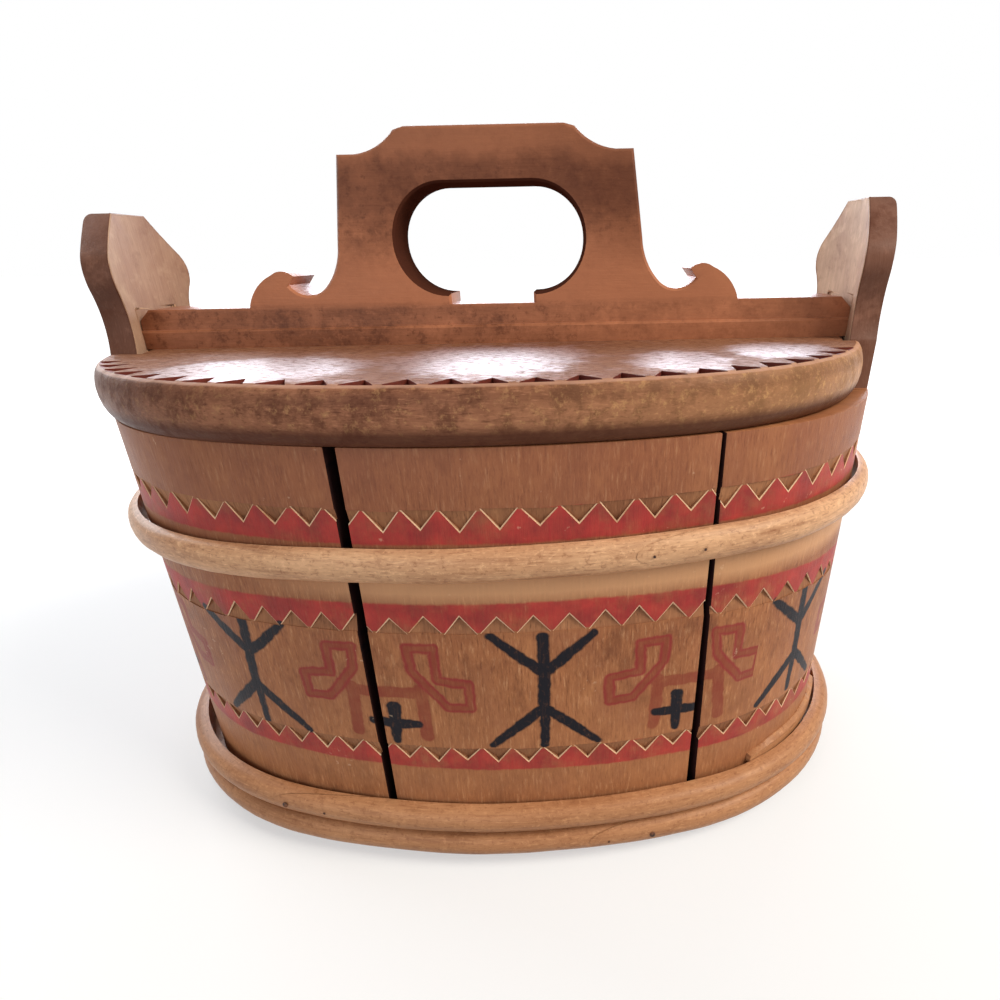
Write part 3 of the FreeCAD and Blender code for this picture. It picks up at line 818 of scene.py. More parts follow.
def handle_wood(name, c):
    """Handle board: grain along it, paler low down, darker over the hand hole and to the right."""
    material, w, sockets = new_material(name)
    source = object_place(w)
    tones = (c.handle_dark, c.handle, c.handle_light)
    colour, grain, _ = wood_tones(w, turned(w, source, GRAIN_OF_HANDLE), tones,
                                  spacing=4.5 * MM, marks=0.3)
    colour = blotched(w, colour, source, tones, 0.95)
    fine = w.noise(source, 420.0, 5.0, 0.72)
    colour = w.tint(colour, c.handle_dark, fine, 0.47, 0.36, 0.55)
    colour = w.tint(colour, c.handle_light, fine, 0.55, 0.68, 0.5)

    part = w.parts(source)
    x, z = part["X"], part["Z"]
    stray = w.stray(w.noise(source, 55.0, 4.0, 0.6), 16.0 * MM)
    height = w.math("ADD", z, stray)
    colour = w.tint(colour, c.handle_dark, height, HOLE_TOP - 8.0 * MM, HOLE_TOP, 0.6)
    colour = w.tint(colour, c.handle_light, height, GRIP_SHOULDER - 4.0 * MM, GRIP_SHOULDER, 0.45)
    grip = w.span(z, RIB_TOP - 1.0 * MM, RIB_TOP + 1.0 * MM)
    rib = w.math("SUBTRACT", 1.0, grip)
    for share, tone, area in (
            (w.span(w.math("ADD", x, stray), 10.0 * MM, 40.0 * MM, 0.0, 0.5), c.handle_dark, grip),
            (w.span(x, 20.0 * MM, -60.0 * MM, 0.0, 0.2), c.handle_dark, rib),
            (w.span(x, 0.0, 50.0 * MM, 0.0, 0.4), c.handle_light, rib),
            (w.span(height, 168.0 * MM, 154.0 * MM, 0.0, 0.8), c.handle_light, grip)):
        colour = w.mix(w.math("MULTIPLY", share, area), colour, tone)
    relief = w.math("MULTIPLY_ADD", grain["Fibre"], 0.5,
                    w.math("MULTIPLY", w.noise(source, 300.0, 4.0, 0.6), 0.8))
    finish(w, sockets, colour, clouded(w, grain, 0.3, 0.45), relief, 0.4, 0.12)
    return material


def lid_rim_wood(name, c):
    """Rim of the lid: mottled varnish, pale along its upper arris, with painted shade under the
    arris, on its underside and at its left end, and painted light at its right end.
    """
    material, w, sockets = new_material(name)
    source = object_place(w)
    colour, grain, _ = wood_tones(w, turned(w, source, GRAIN_ALONG_X),
                                  (c.lid_dark, c.lid, c.rim_light), spacing=5.0 * MM)
    blotch = w.span(w.noise(source, 150.0, 6.0, 0.7), 0.48, 0.62)
    colour = w.mix(w.math("MULTIPLY", blotch, 0.7), colour, c.lid_dark)
    speck = w.span(w.noise(source, 520.0, 5.0, 0.75), 0.54, 0.66)
    part = w.parts(source)
    # Painted light: the rim's right end is lighter and more golden.
    painted_light_right = w.span(w.math("ADD", part["X"], w.math("MULTIPLY", grain["Cloud"], 50.0 * MM)),
                    20.0 * MM, 110.0 * MM, 0.0, 0.42)
    colour = w.mix(w.math("MULTIPLY_ADD", speck, 0.5, painted_light_right), colour, c.gold)
    height = w.math("ADD", part["Z"], w.stray(w.noise(source, 160.0, 3.0), 0.5 * MM))

    def level(low, high, soft):
        return w.between(height, low * MM, high * MM, soft * MM, soft * MM)

    # Painted shade just under the rounded top arris.
    colour = w.mix(w.math("MULTIPLY", level(130.6, 133.4, 0.8), 0.3), colour, c.lid_dark)
    # Painted shade on the rim's underside.
    colour = w.mix(w.math("MULTIPLY", level(117.0, 125.2, 1.2), 0.85), colour, c.lid_dark)
    # Painted shade at the rim's left end.
    colour = w.tint(colour, c.lid_dark, part["X"], -35.0 * MM, -100.0 * MM, 0.7)
    rub = w.span(grain["Fibre"], 0.0, 1.0, 0.35, 0.9)
    colour = w.mix(w.math("MULTIPLY", level(134.1, 134.7, 0.15), rub), colour, c.arris)
    roughness = w.math("MULTIPLY_ADD", blotch, 0.15, clouded(w, grain, 0.3, 0.45))
    relief = w.math("MULTIPLY_ADD", grain["Fibre"], 0.5,
                    w.math("MULTIPLY", w.noise(source, 300.0, 4.0, 0.6), 1.2))
    finish(w, sockets, colour, roughness, relief, 0.5, 0.06)
    return material


# ---- settings a user would change ---------------------------------------------------------
def colour_property(label, description, *screen_values):
    return FloatVectorProperty(name=label, description=description, subtype="COLOR", size=4,
                               min=0.0, max=1.0, default=srgb(*screen_values))


def length_property(label, description, millimetres):
    return FloatProperty(name=label, description=description, default=millimetres * MM, min=0.0,
                         subtype="DISTANCE", unit="LENGTH", precision=5)


class TineColours(bpy.types.PropertyGroup):
    """Colours of the woods and the paints."""
    stave: colour_property("Stave", "Middle tone of the staves", 162, 100, 66)
    stave_light: colour_property("Stave light", "Light tone of the staves", 190, 128, 84)
    # stave_pale also paints the light in a pale strip under the middle hoop.
    stave_pale: colour_property("Stave pale", "Pale scuffs along the grain", 216, 164, 120)
    stave_dark: colour_property("Stave dark", "Fibres and year lines of the staves", 98, 54, 36)
    # This tone paints ruddy patches, and the painted shade high on the wall under the lid.
    ruddy_and_lid_shade: colour_property("Aged stave", "Redder wood high on the wall", 138, 84, 62)
    # The joint tone is also the darkest of the hand hole's painted shade.
    joint: colour_property("Joint", "Stained edges inside the open joints", 58, 32, 28)
    red: colour_property("Red paint", "Bands between the chips", 184, 58, 56)
    red_dark: colour_property("Red paint, dark", "Thick places and rims of the red", 142, 44, 48)
    boot: colour_property("Boot paint", "Red brown of the boots", 134, 58, 44)
    black: colour_property("Black paint", "Trees and crosses", 19, 17, 25)
    worn: colour_property("Worn wood", "Pale places where the finish has gone", 240, 208, 174)
    chip: colour_property("Chip", "Bottom of a carved chip", 156, 102, 70)
    chip_light: colour_property("Chip wall", "Bare cut wood", 188, 132, 92)
    hoop: colour_property("Hoop", "Middle tone of the middle hoop", 212, 157, 114)
    hoop_light: colour_property("Hoop light", "Light tone of the middle hoop", 240, 192, 148)
    hoop_dark: colour_property("Hoop dark", "Bark flecks on the hoops", 136, 84, 54)
    foot: colour_property("Foot hoop", "Middle tone of the foot hoops", 180, 124, 84)
    foot_light: colour_property("Foot hoop light", "Light tone of the foot hoops", 206, 152, 108)
    lid: colour_property("Lid", "Middle tone of the lid", 150, 98, 72)
    lid_light: colour_property("Lid light", "Light tone of the lid", 172, 118, 82)
    rim_light: colour_property("Rim light", "Rubbed places on the lid's rim", 196, 136, 102)
    lid_dark: colour_property("Lid dark", "Dark tone of the lid", 82, 46, 34)
    # The lid's painted reflection: a pale bluish tint on its glossy patches.
    painted_reflection: colour_property("Lid bloom", "Bluish bloom of old varnish", 198, 184, 214)
    # The golden tone also paints the light on the rim's right end.
    gold: colour_property("Lid specks", "Golden specks where the rim is worn", 196, 148, 100)
    arris: colour_property("Lid arris", "Pale line along the lid's upper edge", 200, 152, 128)
    lid_chip: colour_property("Lid chip", "Maroon floor of the lid's chips", 104, 46, 40)
    handle: colour_property("Handle", "Middle tone of the handle board", 144, 89, 60)
    handle_light: colour_property("Handle light", "Light tone of the handle board", 184, 118, 84)
    handle_dark: colour_property("Handle dark", "Dark tone of the handle board", 90, 50, 34)
    # The ears' pale inner faces are partly painted light.
    ear: colour_property("Ear", "Greyish tan of the ears' inner faces", 196, 154, 128)
    # The dark ear tone also paints the shade on the left ear.
    ear_dark: colour_property("Ear dark", "Fibres of the ears' inner faces", 140, 98, 80)
    # The ears' dark edges are partly painted shade.
    ear_edge: colour_property("Ear edge", "Handled brown of the ears' edges", 102, 70, 57)


class TineSizes(bpy.types.PropertyGroup):
    """Sizes of what is added to the plain solids."""
    chip_depth: length_property("Chip depth", "Deepest point of a carved chip", 1.25)
    lid_chip_pitch: length_property("Lid chip pitch", "Distance between chips on the lid", 9.6)
    lid_chip_reach: length_property("Lid chip reach", "How far a chip goes in over the lid", 6.6)
    lid_chip_depth: length_property("Lid chip depth", "Deepest point of a lid chip", 1.7)
    edge_break: length_property("Edge break", "Rounding of cut edges", 0.28)
    arris_wear: length_property("Arris wear", "Pale flat worn along a chip's edges", 0.33)
    crest_round: length_property("Crest round", "Rounding along the grip's crest", 3.0)
    nail_radius: length_property("Nail radius", "Radius of a nail's head", 0.85)
    hoop_wobble: length_property("Hoop wobble", "How far a hoop strays from its line", 0.35)
    hoop_steps: IntProperty(name="Hoop steps", description="Steps round each quarter of a hoop",
                            default=40, min=8)


def sizes():
    return bpy.context.scene.tine_sizes


def colours():
    return bpy.context.scene.tine_colours


def material_once(name, make, *given, **settings):
    """The material of a name, made by a function when it is first asked for."""
    return bpy.data.materials.get(name) or make(name, *given, **settings)


PAINTED, PLAIN, CHIP, ARRIS, JOINT, EAR_FACE, EAR_EDGE = range(7)


def stave_materials():
    """The staves' materials, in the order of the slots named above."""
    c = colours()
    return [
        material_once("Painted stave", painted_wood, c),
        material_once("Plain stave", plain_wood, (c.stave_dark, c.stave, c.stave_light), seed=0.7),
        material_once("Chip wood", plain_wood, (c.lid_dark, c.chip, c.chip_light), seed=1.9,
                      roughness=(0.5, 0.7)),
        material_once("Worn arris", plain_wood, (c.stave_light, c.worn, c.worn), seed=2.3,
                      roughness=(0.5, 0.7), marks=0.4, blotches=0.9),
        material_once("Joint edge", plain_wood, (c.black, c.joint, c.joint), seed=0.2,
                      roughness=(0.7, 0.9), specular=0.05),
        # The ears' pale inner faces and dark edges are partly painted light and painted shade.
        material_once("Ear face", ear_wood, c),
        material_once("Ear edge", plain_wood, (c.handle_dark, c.ear_edge, c.ear_dark),
                      turn=GRAIN_UP, seed=1.4, roughness=(0.35, 0.5), specular=0.08, marks=0.4,
                      blotches=0.8),
    ]


def dress(node, material):
    """Give a node's own mesh a material."""
    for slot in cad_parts[node].material_slots:
        slot.material = material


# ---- pieces -------------------------------------------------------------------------------
OUTER_PLAY = 0.4 * MM           # how far inside the wall's plan an outer face may still lie


def stave_slot(face, ear):
    """Which material a stave's face takes, from its place and the way it looks."""
    centre, normal = face.calc_center_median(), face.normal
    _, way = FOOT.point(wall_along(centre.x, centre.y), 0.0)
    if growth(centre.x, centre.y) > TAPER * centre.z - OUTER_PLAY and abs(normal.z) < 0.3:
        return PAINTED
    if ear and normal.dot(way) < -0.5:
        return EAR_FACE
    if ear and centre.z > WALL_HEIGHT:
        return EAR_EDGE
    if abs(normal.z) < 0.5 and abs(normal.dot(way)) < 0.5:
        return JOINT
    return PLAIN


def worn_arrises(piece, sides, width, slot):
    """Bevel the edges between two materials into a narrow flat of a third one."""
    bm = bmesh.new()
    bm.from_mesh(piece.data)
    bmesh.ops.remove_doubles(bm, verts=bm.verts, dist=CUT_WELD)
    edges = [edge for edge in bm.edges if len(edge.link_faces) == 2
             and {face.material_index for face in edge.link_faces} == set(sides)]
    bmesh.ops.bevel(bm, geom=edges, offset=width, offset_type="OFFSET", segments=1, profile=0.5,
                    affect="EDGES", clamp_overlap=False, material=slot)
    bm.to_mesh(piece.data)
    bm.free()


EAR_ROUND = 2.6 * MM
EAR_CROWN, EAR_OUTSIDE = 1.0 * MM, 3.5 * MM     # how near the top and the outside an edge lies


def round_ear(bm):
    """Round the long outer edge of an ear's top."""
    crown = max(vert.co.z for vert in bm.verts) - EAR_CROWN
    outside = max(abs(vert.co.x) for vert in bm.verts if vert.co.z > crown) - EAR_OUTSIDE
    edges = [edge for edge in bm.edges if edge.calc_face_angle(0.0) > 0.6 and all(
        vert.co.z > crown and abs(vert.co.x) > outside for vert in edge.verts)]
    bmesh.ops.bevel(bm, geom=edges, offset=EAR_ROUND, offset_type="OFFSET", segments=4,
                    profile=0.5, affect="EDGES", clamp_overlap=True, material=-1)


def carved_stave(node, body, left_end=False):
    """A stave with its chips cut, its edges softened and its outer face ready for paint."""
    tine, materials = sizes(), stave_materials()
    ear = body != "tub"
    bm = node_copy(node)
    if ear:
        round_ear(bm)
    for face in bm.faces:
        face.material_index = stave_slot(face, ear)
    piece = new_object("carved_" + node, bm, materials)
    places = [wall_along(vert.co.x, vert.co.y, left_end) for vert in piece.data.vertices]
    low, high = min(places), max(places)
    add_bevel(piece, tine.edge_break)
    apply_modifiers(piece)
    cut_by(piece, wall_chips(low, high, materials[ARRIS], ARRIS_DEPTH, tine.arris_wear))
    cut_by(piece, wall_chips(low, high, materials[CHIP], tine.chip_depth, 0.0))
    if ear:
        worn_arrises(piece, (EAR_FACE, EAR_EDGE), tine.arris_wear, ARRIS)
    reshade(piece)
    lay_wall_map(piece, left_end)
    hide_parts(node)
    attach(piece, body)


class TINE_OT_staves(bpy.types.Operator):
    """Six staves with carved and painted bands"""
    bl_idname = "tine.staves"
    bl_label = "Staves"

    def execute(self, context):
        for node in FRONT_STAVES + BACK_STAVES:
            carved_stave(node, "tub")
        return {"FINISHED"}


class TINE_OT_ears(bpy.types.Operator):
    """The two end staves that rise into ears"""
    bl_idname = "tine.ears"
    bl_label = "Ears"

    def execute(self, context):
        carved_stave("left_ear_stave", "left_ear", left_end=True)
        carved_stave("right_ear_stave", "right_ear")
        return {"FINISHED"}


class TINE_OT_bottom(bpy.types.Operator):
    """The bottom board, with grain along the box"""
    bl_idname = "tine.bottom"
    bl_label = "Bottom board"

    def execute(self, context):
        c = colours()
        dress("bottom_board", plain_wood("Bottom wood", (c.stave_dark, c.stave, c.stave_light),
                                         turn=GRAIN_ALONG_X))
        return {"FINISHED"}


HOOPS = {
    # name: (z, tilt in degrees, height, thickness, side gap, end slack, lap x), lengths in mm
    "middle_hoop": (93.0, 1.3, 8.6, 3.8, 0.3, 1.5, 47.0),
    "upper_foot_hoop": (15.5, 0.0, 8.2, 5.0, 0.7, 2.6, -52.5),
    "lower_foot_hoop": (7.1, 0.0, 8.2, 5.0, 0.7, 2.6, 36.6),
}
LAP_LENGTH = 30.0 * MM
LAP_GAP = 0.2 * MM
INNER_GAP = 0.15 * MM           # between the wall and the inner face of the lowest hoop
SPRING_ROOM = 0.22 * MM         # the middle hoop is hollowed by this at its ends, for the ears
SPRING_START, SPRING_RUN = 60.0 * MM, 30.0 * MM     # along x, where that hollow deepens
WAVES = 28.0                    # per metre, of a hoop's wobble
OWN_LIFT, OWN_FAT = 900.0, 300.0    # times a hoop's height, so that no two stray alike
KNOBS = 120.0                   # per metre, of its rougher surface
ROD_SIDES = 10                  # faces round a rod's outer half


def hoop_wood(name, tones):
    """Split rod: fibres that run round the hoop, pale face, brown bark left along its edges."""
    dark, _, light = tones
    material, w, sockets = new_material(name)
    spot = wall_place(w)
    part = w.parts(spot)
    colour, grain, wear = wood_tones(w, w.vector(part["Y"], part["X"], 0.0), tones,
                                     spacing=2.6 * MM, stretch=22.0, seed=0.9)
    streak = w.noise(w.drawn_out(part["Y"], part["X"], 9.0), 300.0, 3.0, 0.6)
    colour = w.mix(w.math("MULTIPLY", w.span(streak, 0.56, 0.72), 0.55), colour, dark)
    colour = w.mix(w.math("MULTIPLY", wear["Worn"], 0.3), colour, dark)
    speck = w.noise(spot, 620.0, 4.0, 0.7)
    colour = w.tint(colour, dark, speck, 0.44, 0.34, 0.5)
    colour = w.tint(colour, light, speck, 0.56, 0.68, 0.6)
    relief = w.math("MULTIPLY_ADD", grain["Fibre"], 0.5, w.math("MULTIPLY", streak, -0.4))
    finish(w, sockets, colour, clouded(w, grain, 0.34, 0.5), relief, 0.3, 0.2)
    return material


def rod_section(bm, plan, z, height, thickness):
    """The hoop's section as a chain of edges, on the front at x 0."""
    corners = []
    for index in range(ROD_SIDES + 1):
        angle = math.pi * (index / ROD_SIDES - 0.5)
        up = math.sin(angle) * height / 2.0
        out = TAPER * up
        if 0 < index < ROD_SIDES:
            out += math.cos(angle) ** 0.8 * thickness
        corners.append(bm.verts.new((0.0, plan.side_y - plan.side_radius - out, z + up)))
    edges = [bm.edges.new(pair) for pair in zip(corners, corners[1:])]
    edges.append(bm.edges.new((corners[-1], corners[0])))
    return corners + edges


def spin_round(bm, section, plan, steps):
    """Carry a section round the oval's four arcs, from the middle of the front."""
    side, end = plan.side_angle, math.pi - 2.0 * plan.side_angle
    arcs = ((0.0, plan.side_y, side, steps // 2), (plan.end_x, 0.0, end, steps),
            (0.0, -plan.side_y, 2.0 * side, steps), (-plan.end_x, 0.0, end, steps),
            (0.0, plan.side_y, side, steps // 2))
    for x, y, angle, count in arcs:
        section = bmesh.ops.spin(bm, geom=section, cent=(x, y, 0.0), axis=(0.0, 0.0, 1.0),
                                 angle=angle, steps=count, use_duplicate=False)["geom_last"]
    bmesh.ops.remove_doubles(bm, verts=bm.verts, dist=RING_WELD)
    bmesh.ops.recalc_face_normals(bm, faces=bm.faces)


def scarf_slot(plan, z, thickness, lap_x, material):
    """The thin slanted saw cut between the two lapped ends."""
    bm = bmesh.new()
    place = (Matrix.Translation((0.0, plan.side_y, z))
             @ Matrix.Rotation(math.asin(lap_x / plan.side_radius), 4, "Z")
             @ Matrix.Translation((0.0, -plan.side_radius - thickness / 2.0, 0.0))
             @ Matrix.Rotation(math.atan2(thickness, LAP_LENGTH), 4, "Z")
             @ Matrix.Diagonal((2.0 * LAP_LENGTH, LAP_GAP, 20.0 * MM, 1.0)))
    bmesh.ops.create_cube(bm, size=1.0, matrix=place)
    return new_object("scarf", bm, [material])


def wobble(bm, node, plan, z):
    """Let a hoop stray a little from its line, its inner face left clear of the ears."""
    _, _, _, thickness, side_gap, end_slack, _ = HOOPS[node]
    stray = sizes().hoop_wobble
    for vert in bm.verts:
        wave = vert.co * WAVES
        _, way = FOOT.point(wall_along(vert.co.x, vert.co.y), 0.0)
        clear = growth(vert.co.x, vert.co.y) - TAPER * vert.co.z - side_gap * MM
        lift = noise.noise(Vector((wave.x, wave.y, z * OWN_LIFT)))
        fat = noise.noise(Vector((wave.x, wave.y, 7.0 + z * OWN_FAT)))
        vert.co.z += stray * lift * 1.2
        if node == "lower_foot_hoop" and clear < end_slack * MM - side_gap * MM + 0.1 * MM:
            vert.co = wall_point(wall_along(vert.co.x, vert.co.y), vert.co.z, INNER_GAP)[0]
        across, deep = abs(vert.co.x), -abs(vert.co.y)
        inner, _ = plan.point(plan.along(across, deep), 0.0)
        if math.hypot(across - inner.x, deep - inner.y) > 0.3 * thickness * MM:
            vert.co += way * stray * (fat - 0.3)
            vert.co.z += stray * 0.6 * noise.noise(vert.co * KNOBS)
        elif node == "middle_hoop":
            vert.co += way * SPRING_ROOM * min(1.0, max(0.0, (across - SPRING_START) / SPRING_RUN))


def fold_map(piece, z, thickness):
    """Carry the map's height on over a rod's upper and lower sides, where z alone stands still."""
    for loop in piece.data.loops:
        place = piece.data.vertices[loop.vertex_index].co
        inward = thickness + TAPER * z - growth(place.x, place.y)
        side = 1.0 if place.z > z else -1.0
        piece.data.uv_layers[WALL_MAP].data[loop.index].uv.y = (
            place.z + side * 0.7 * max(0.0, inward))


def hoop(node, material):
    """A split rod bent round the wall, lapped on the front and a little uneven."""
    z, tilt, height, thickness, side_gap, end_slack, lap_x = HOOPS[node]
    z, height, thickness, lap_x = z * MM, height * MM, thickness * MM, lap_x * MM
    wall = FOOT.grown(TAPER * z)
    half_width = wall.side_radius - wall.side_y
    plan = Oval(wall.end_x + wall.end_radius + end_slack * MM, half_width + side_gap * MM,
                SIDE_RISE)
    bm = bmesh.new()
    spin_round(bm, rod_section(bm, plan, z, height, thickness), plan, sizes().hoop_steps)
    wobble(bm, node, plan, z)
    piece = new_object("split_" + node, bm, [material])
    cut_by(piece, scarf_slot(plan, z, thickness, lap_x, material))
    if tilt:
        piece.data.transform(Matrix.Translation((0.0, 0.0, z))
                             @ Matrix.Rotation(math.radians(-tilt), 4, "Y")
                             @ Matrix.Translation((0.0, 0.0, -z)))
    reshade(piece, 40.0)
    lay_wall_map(piece)
    fold_map(piece, z, thickness)
    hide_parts(node)
    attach(piece, "tub")


def tucked_end(material):
    """The inner end of the upper foot hoop, a thin strip that shows above it at the right."""
    z, height, thickness = 21.0 * MM, 4.4 * MM, 1.6 * MM
    start, end, steps = 75.0 * MM, 125.0 * MM, 28
    tip = 9.0 * MM
    inside = -0.4 * MM
    bm = bmesh.new()
    section = ((inside, -0.5), (thickness, -0.5), (thickness, 0.25), (0.3 * MM, 0.5),
               (inside, 0.5))
    face = bm.faces.new([bm.verts.new(wall_point(start, z + up * height, out)[0])
                         for out, up in section])
    for _ in range(steps):
        drawn = bmesh.ops.extrude_face_region(bm, geom=[face])["geom"]
        face = next(item for item in drawn if isinstance(item, bmesh.types.BMFace))
        for vert in face.verts:
            at = wall_along(vert.co.x, vert.co.y)
            out = growth(vert.co.x, vert.co.y) - TAPER * vert.co.z
            vert.co = wall_point(at + (end - start) / steps, vert.co.z, out)[0]
    bmesh.ops.recalc_face_normals(bm, faces=bm.faces)
    for vert in bm.verts:
        at = wall_along(vert.co.x, vert.co.y)
        share = min(1.0, (at - start) / tip)
        if vert.co.z > z:
            rough = noise.noise(Vector((at * 420.0, 3.0, vert.co.z * 200.0)))
            vert.co.z = z + (vert.co.z - z) * (0.15 + 0.85 * share) + 0.35 * MM * rough
    piece = new_object("tucked_hoop_end", bm, [material])
    lay_wall_map(piece)
    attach(piece, "tub")


class TINE_OT_hoops(bpy.types.Operator):
    """Three split-rod hoops with scarfed laps"""
    bl_idname = "tine.hoops"
    bl_label = "Hoops"

    def execute(self, context):
        c = colours()
        middle = hoop_wood("Middle hoop wood", (c.hoop_dark, c.hoop, c.hoop_light))
        foot = hoop_wood("Foot hoop wood", (c.hoop_dark, c.foot, c.foot_light))
        for node in HOOPS:
            hoop(node, middle if node == "middle_hoop" else foot)
        tucked_end(foot)
        return {"FINISHED"}


NAILS_SEEN = (-59, 43, 54)      # x, in mm, of the nails whose heads aren't sunk
SUNK_NAIL = 0.45                # how much of a sunk nail's radius still shows
NAIL_STANDS_IN = 0.55 * MM      # from a CAD nail's tip to the middle of the domed head
NAIL_DOME = 0.45                # a head's height as a share of its radius
NAIL_SHAFT = 4.0 * MM
IRON, RUST = srgb(58, 44, 38), srgb(112, 70, 46)


def nail_iron():
    """Dark iron with patches of rust."""
    material, w, sockets = new_material("Nail iron")
    rust = w.span(w.noise(object_place(w), 900.0, 4.0, 0.6), 0.4, 0.62)
    w.feed(sockets["Base Color"], w.mix(rust, IRON, RUST))
    w.feed(sockets["Metallic"], w.span(rust, 0.0, 1.0, 0.7, 0.0))
    w.feed(sockets["Roughness"], w.span(rust, 0.0, 1.0, 0.5, 0.85))
    return material


def loose_parts(bm):
    """Each loose part of a bmesh, as a list of its points."""
    left = set(bm.verts)
    while left:
        front, part = [left.pop()], []
        while front:
            vert = front.pop()
            part.append(vert)
            near = {edge.other_vert(vert) for edge in vert.link_edges} & left
            left -= near
            front.extend(near)
        yield part


def add_nail(bm, points):
    """A small domed nail in the place of a CAD nail's points."""
    middle = sum((vert.co for vert in points), Vector()) / len(points)
    _, way = FOOT.point(wall_along(middle.x, middle.y), 0.0)
    tip = max(vert.co.dot(way) for vert in points)
    head = middle + way * (tip - middle.dot(way) - NAIL_STANDS_IN)
    turn = way.to_track_quat("Z", "Y").to_matrix().to_4x4()
    seen = round(middle.x / MM) in NAILS_SEEN
    radius = sizes().nail_radius * (1.0 if seen else SUNK_NAIL)
    dome = Matrix.Translation(head) @ turn @ Matrix.Diagonal((1.0, 1.0, NAIL_DOME, 1.0))
    bmesh.ops.create_uvsphere(bm, u_segments=12, v_segments=8, radius=radius, matrix=dome)
    shaft = Matrix.Translation(head - way * NAIL_SHAFT / 2.0) @ turn
    bmesh.ops.create_cone(bm, cap_ends=True, segments=8, radius1=0.35 * radius,
                          radius2=0.5 * radius, depth=NAIL_SHAFT, matrix=shaft)


class TINE_OT_nails(bpy.types.Operator):
    """Small rusty nails, their domed heads nearly level with the hoops"""
    bl_idname = "tine.nails"
    bl_label = "Nails"

    def execute(self, context):
        source, bm = node_copy("hoop_nails"), bmesh.new()
        for points in loose_parts(source):
            add_nail(bm, points)
        source.free()
        piece = new_object("small_hoop_nails", bm, [nail_iron()])
        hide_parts("hoop_nails")
        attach(piece, "tub")
        return {"FINISHED"}


# ---- lid ----------------------------------------------------------------------------------
LID_PLAN = Oval(111.97 * MM, 86.77 * MM, 4.3 * MM)
LID_OFF_CENTRE = -2.5 * MM
LID_RIM_LOW, LID_NOSE = 121.0 * MM, 129.0 * MM      # the rim's underside and its widest place
LID_TOP_ROUND, LID_UNDER_ROUND = 2.4 * MM, 4.2 * MM
TOP_STEPS, TOP_STEP_ANGLE, UNDER_STEPS = 5, 13.0, 6
NOTCH_HALF, NOTCH_RADIUS = 22.3 * MM, 68.97 * MM
LID_STEPS = 48                  # round each of its arcs
LID_FLAT = 0.97                 # a face that looks up by more than this is its top
LID_CHIP_SHALLOW = 0.1 * MM     # how deep a lid's chip is at its two outer corners
NO_CHIPS_WITHIN = 34.0 * MM     # of the lid's long middle line, where the ears stand


def lid_point(along, out, z):
    """A place round the lid's edge, or outside it."""
    place, _ = LID_PLAN.point(along, out)
    return Vector((place.x + LID_OFF_CENTRE, place.y, z))


def lid_chips(tine, material):
    """Triangular chips along the lid's top edge."""
    bm = bmesh.new()
    full = 4.0 * LID_PLAN.quarter
    count = round(full / tine.lid_chip_pitch)
    step = full / count
    arris = -LID_TOP_ROUND * 0.75
    dice = random.Random(7)
    for index in range(count):
        along = -LID_PLAN.quarter + step * (index + 0.5 + dice.uniform(-0.03, 0.03))
        half = step * dice.uniform(0.38, 0.43)
        reach = tine.lid_chip_reach * dice.uniform(0.85, 1.1)
        spots = ((along - half, arris, LID_CHIP_SHALLOW), (along + half, arris, LID_CHIP_SHALLOW),
                 (along, arris - reach, tine.lid_chip_depth))
        top = [lid_point(place, out, LID_TOP + CUTTER_REACH) for place, out, _ in spots]
        if abs(top[2].y) >= NO_CHIPS_WITHIN:
            add_wedge(bm, top, [lid_point(place, out, LID_TOP - deep)
                                for place, out, deep in spots])
    bmesh.ops.recalc_face_normals(bm, faces=bm.faces)
    return new_object("lid_chips", bm, [material])


def lid_materials():
    """The lid's top, rim and chips, the handle board and the walls of its hand hole."""
    c = colours()
    return [
        material_once("Lid top", lid_top_wood, c),
        material_once("Lid rim", lid_rim_wood, c),
        material_once("Lid chip wood", plain_wood, (c.lid_dark, c.lid_chip, c.boot),
                      turn=GRAIN_ALONG_X),
        material_once("Handle wood", handle_wood, c),
        # Painted shade: the walls of the hand hole are dark brown.
        material_once("Hand hole wood", plain_wood, (c.joint, c.lid_dark, c.handle_dark),
                      turn=GRAIN_OF_HANDLE, specular=0.0, marks=0.3),
    ]


def lid_rim(bm):
    """The rim's section as a chain of edges on the front at x 0, from the underside to the top."""
    profile = []
    for index in range(UNDER_STEPS + 1):
        angle = math.pi / 2.0 * (1.0 - index / UNDER_STEPS)
        profile.append((LID_UNDER_ROUND * (math.cos(angle) - 1.0),
                        LID_NOSE - (LID_NOSE - LID_RIM_LOW) * math.sin(angle)))
    for index in range(1, TOP_STEPS + 1):
        angle = math.radians(TOP_STEP_ANGLE * index)
        profile.append((LID_TOP_ROUND * (math.cos(angle) - 1.0),
                        LID_NOSE + (LID_TOP - LID_NOSE) * math.sin(angle)))
    profile.append((-LID_TOP_ROUND, LID_TOP))
    corners = [bm.verts.new((0.0, LID_PLAN.side_y - LID_PLAN.side_radius - out, z))
               for out, z in profile]
    return corners + [bm.edges.new(pair) for pair in zip(corners, corners[1:])]


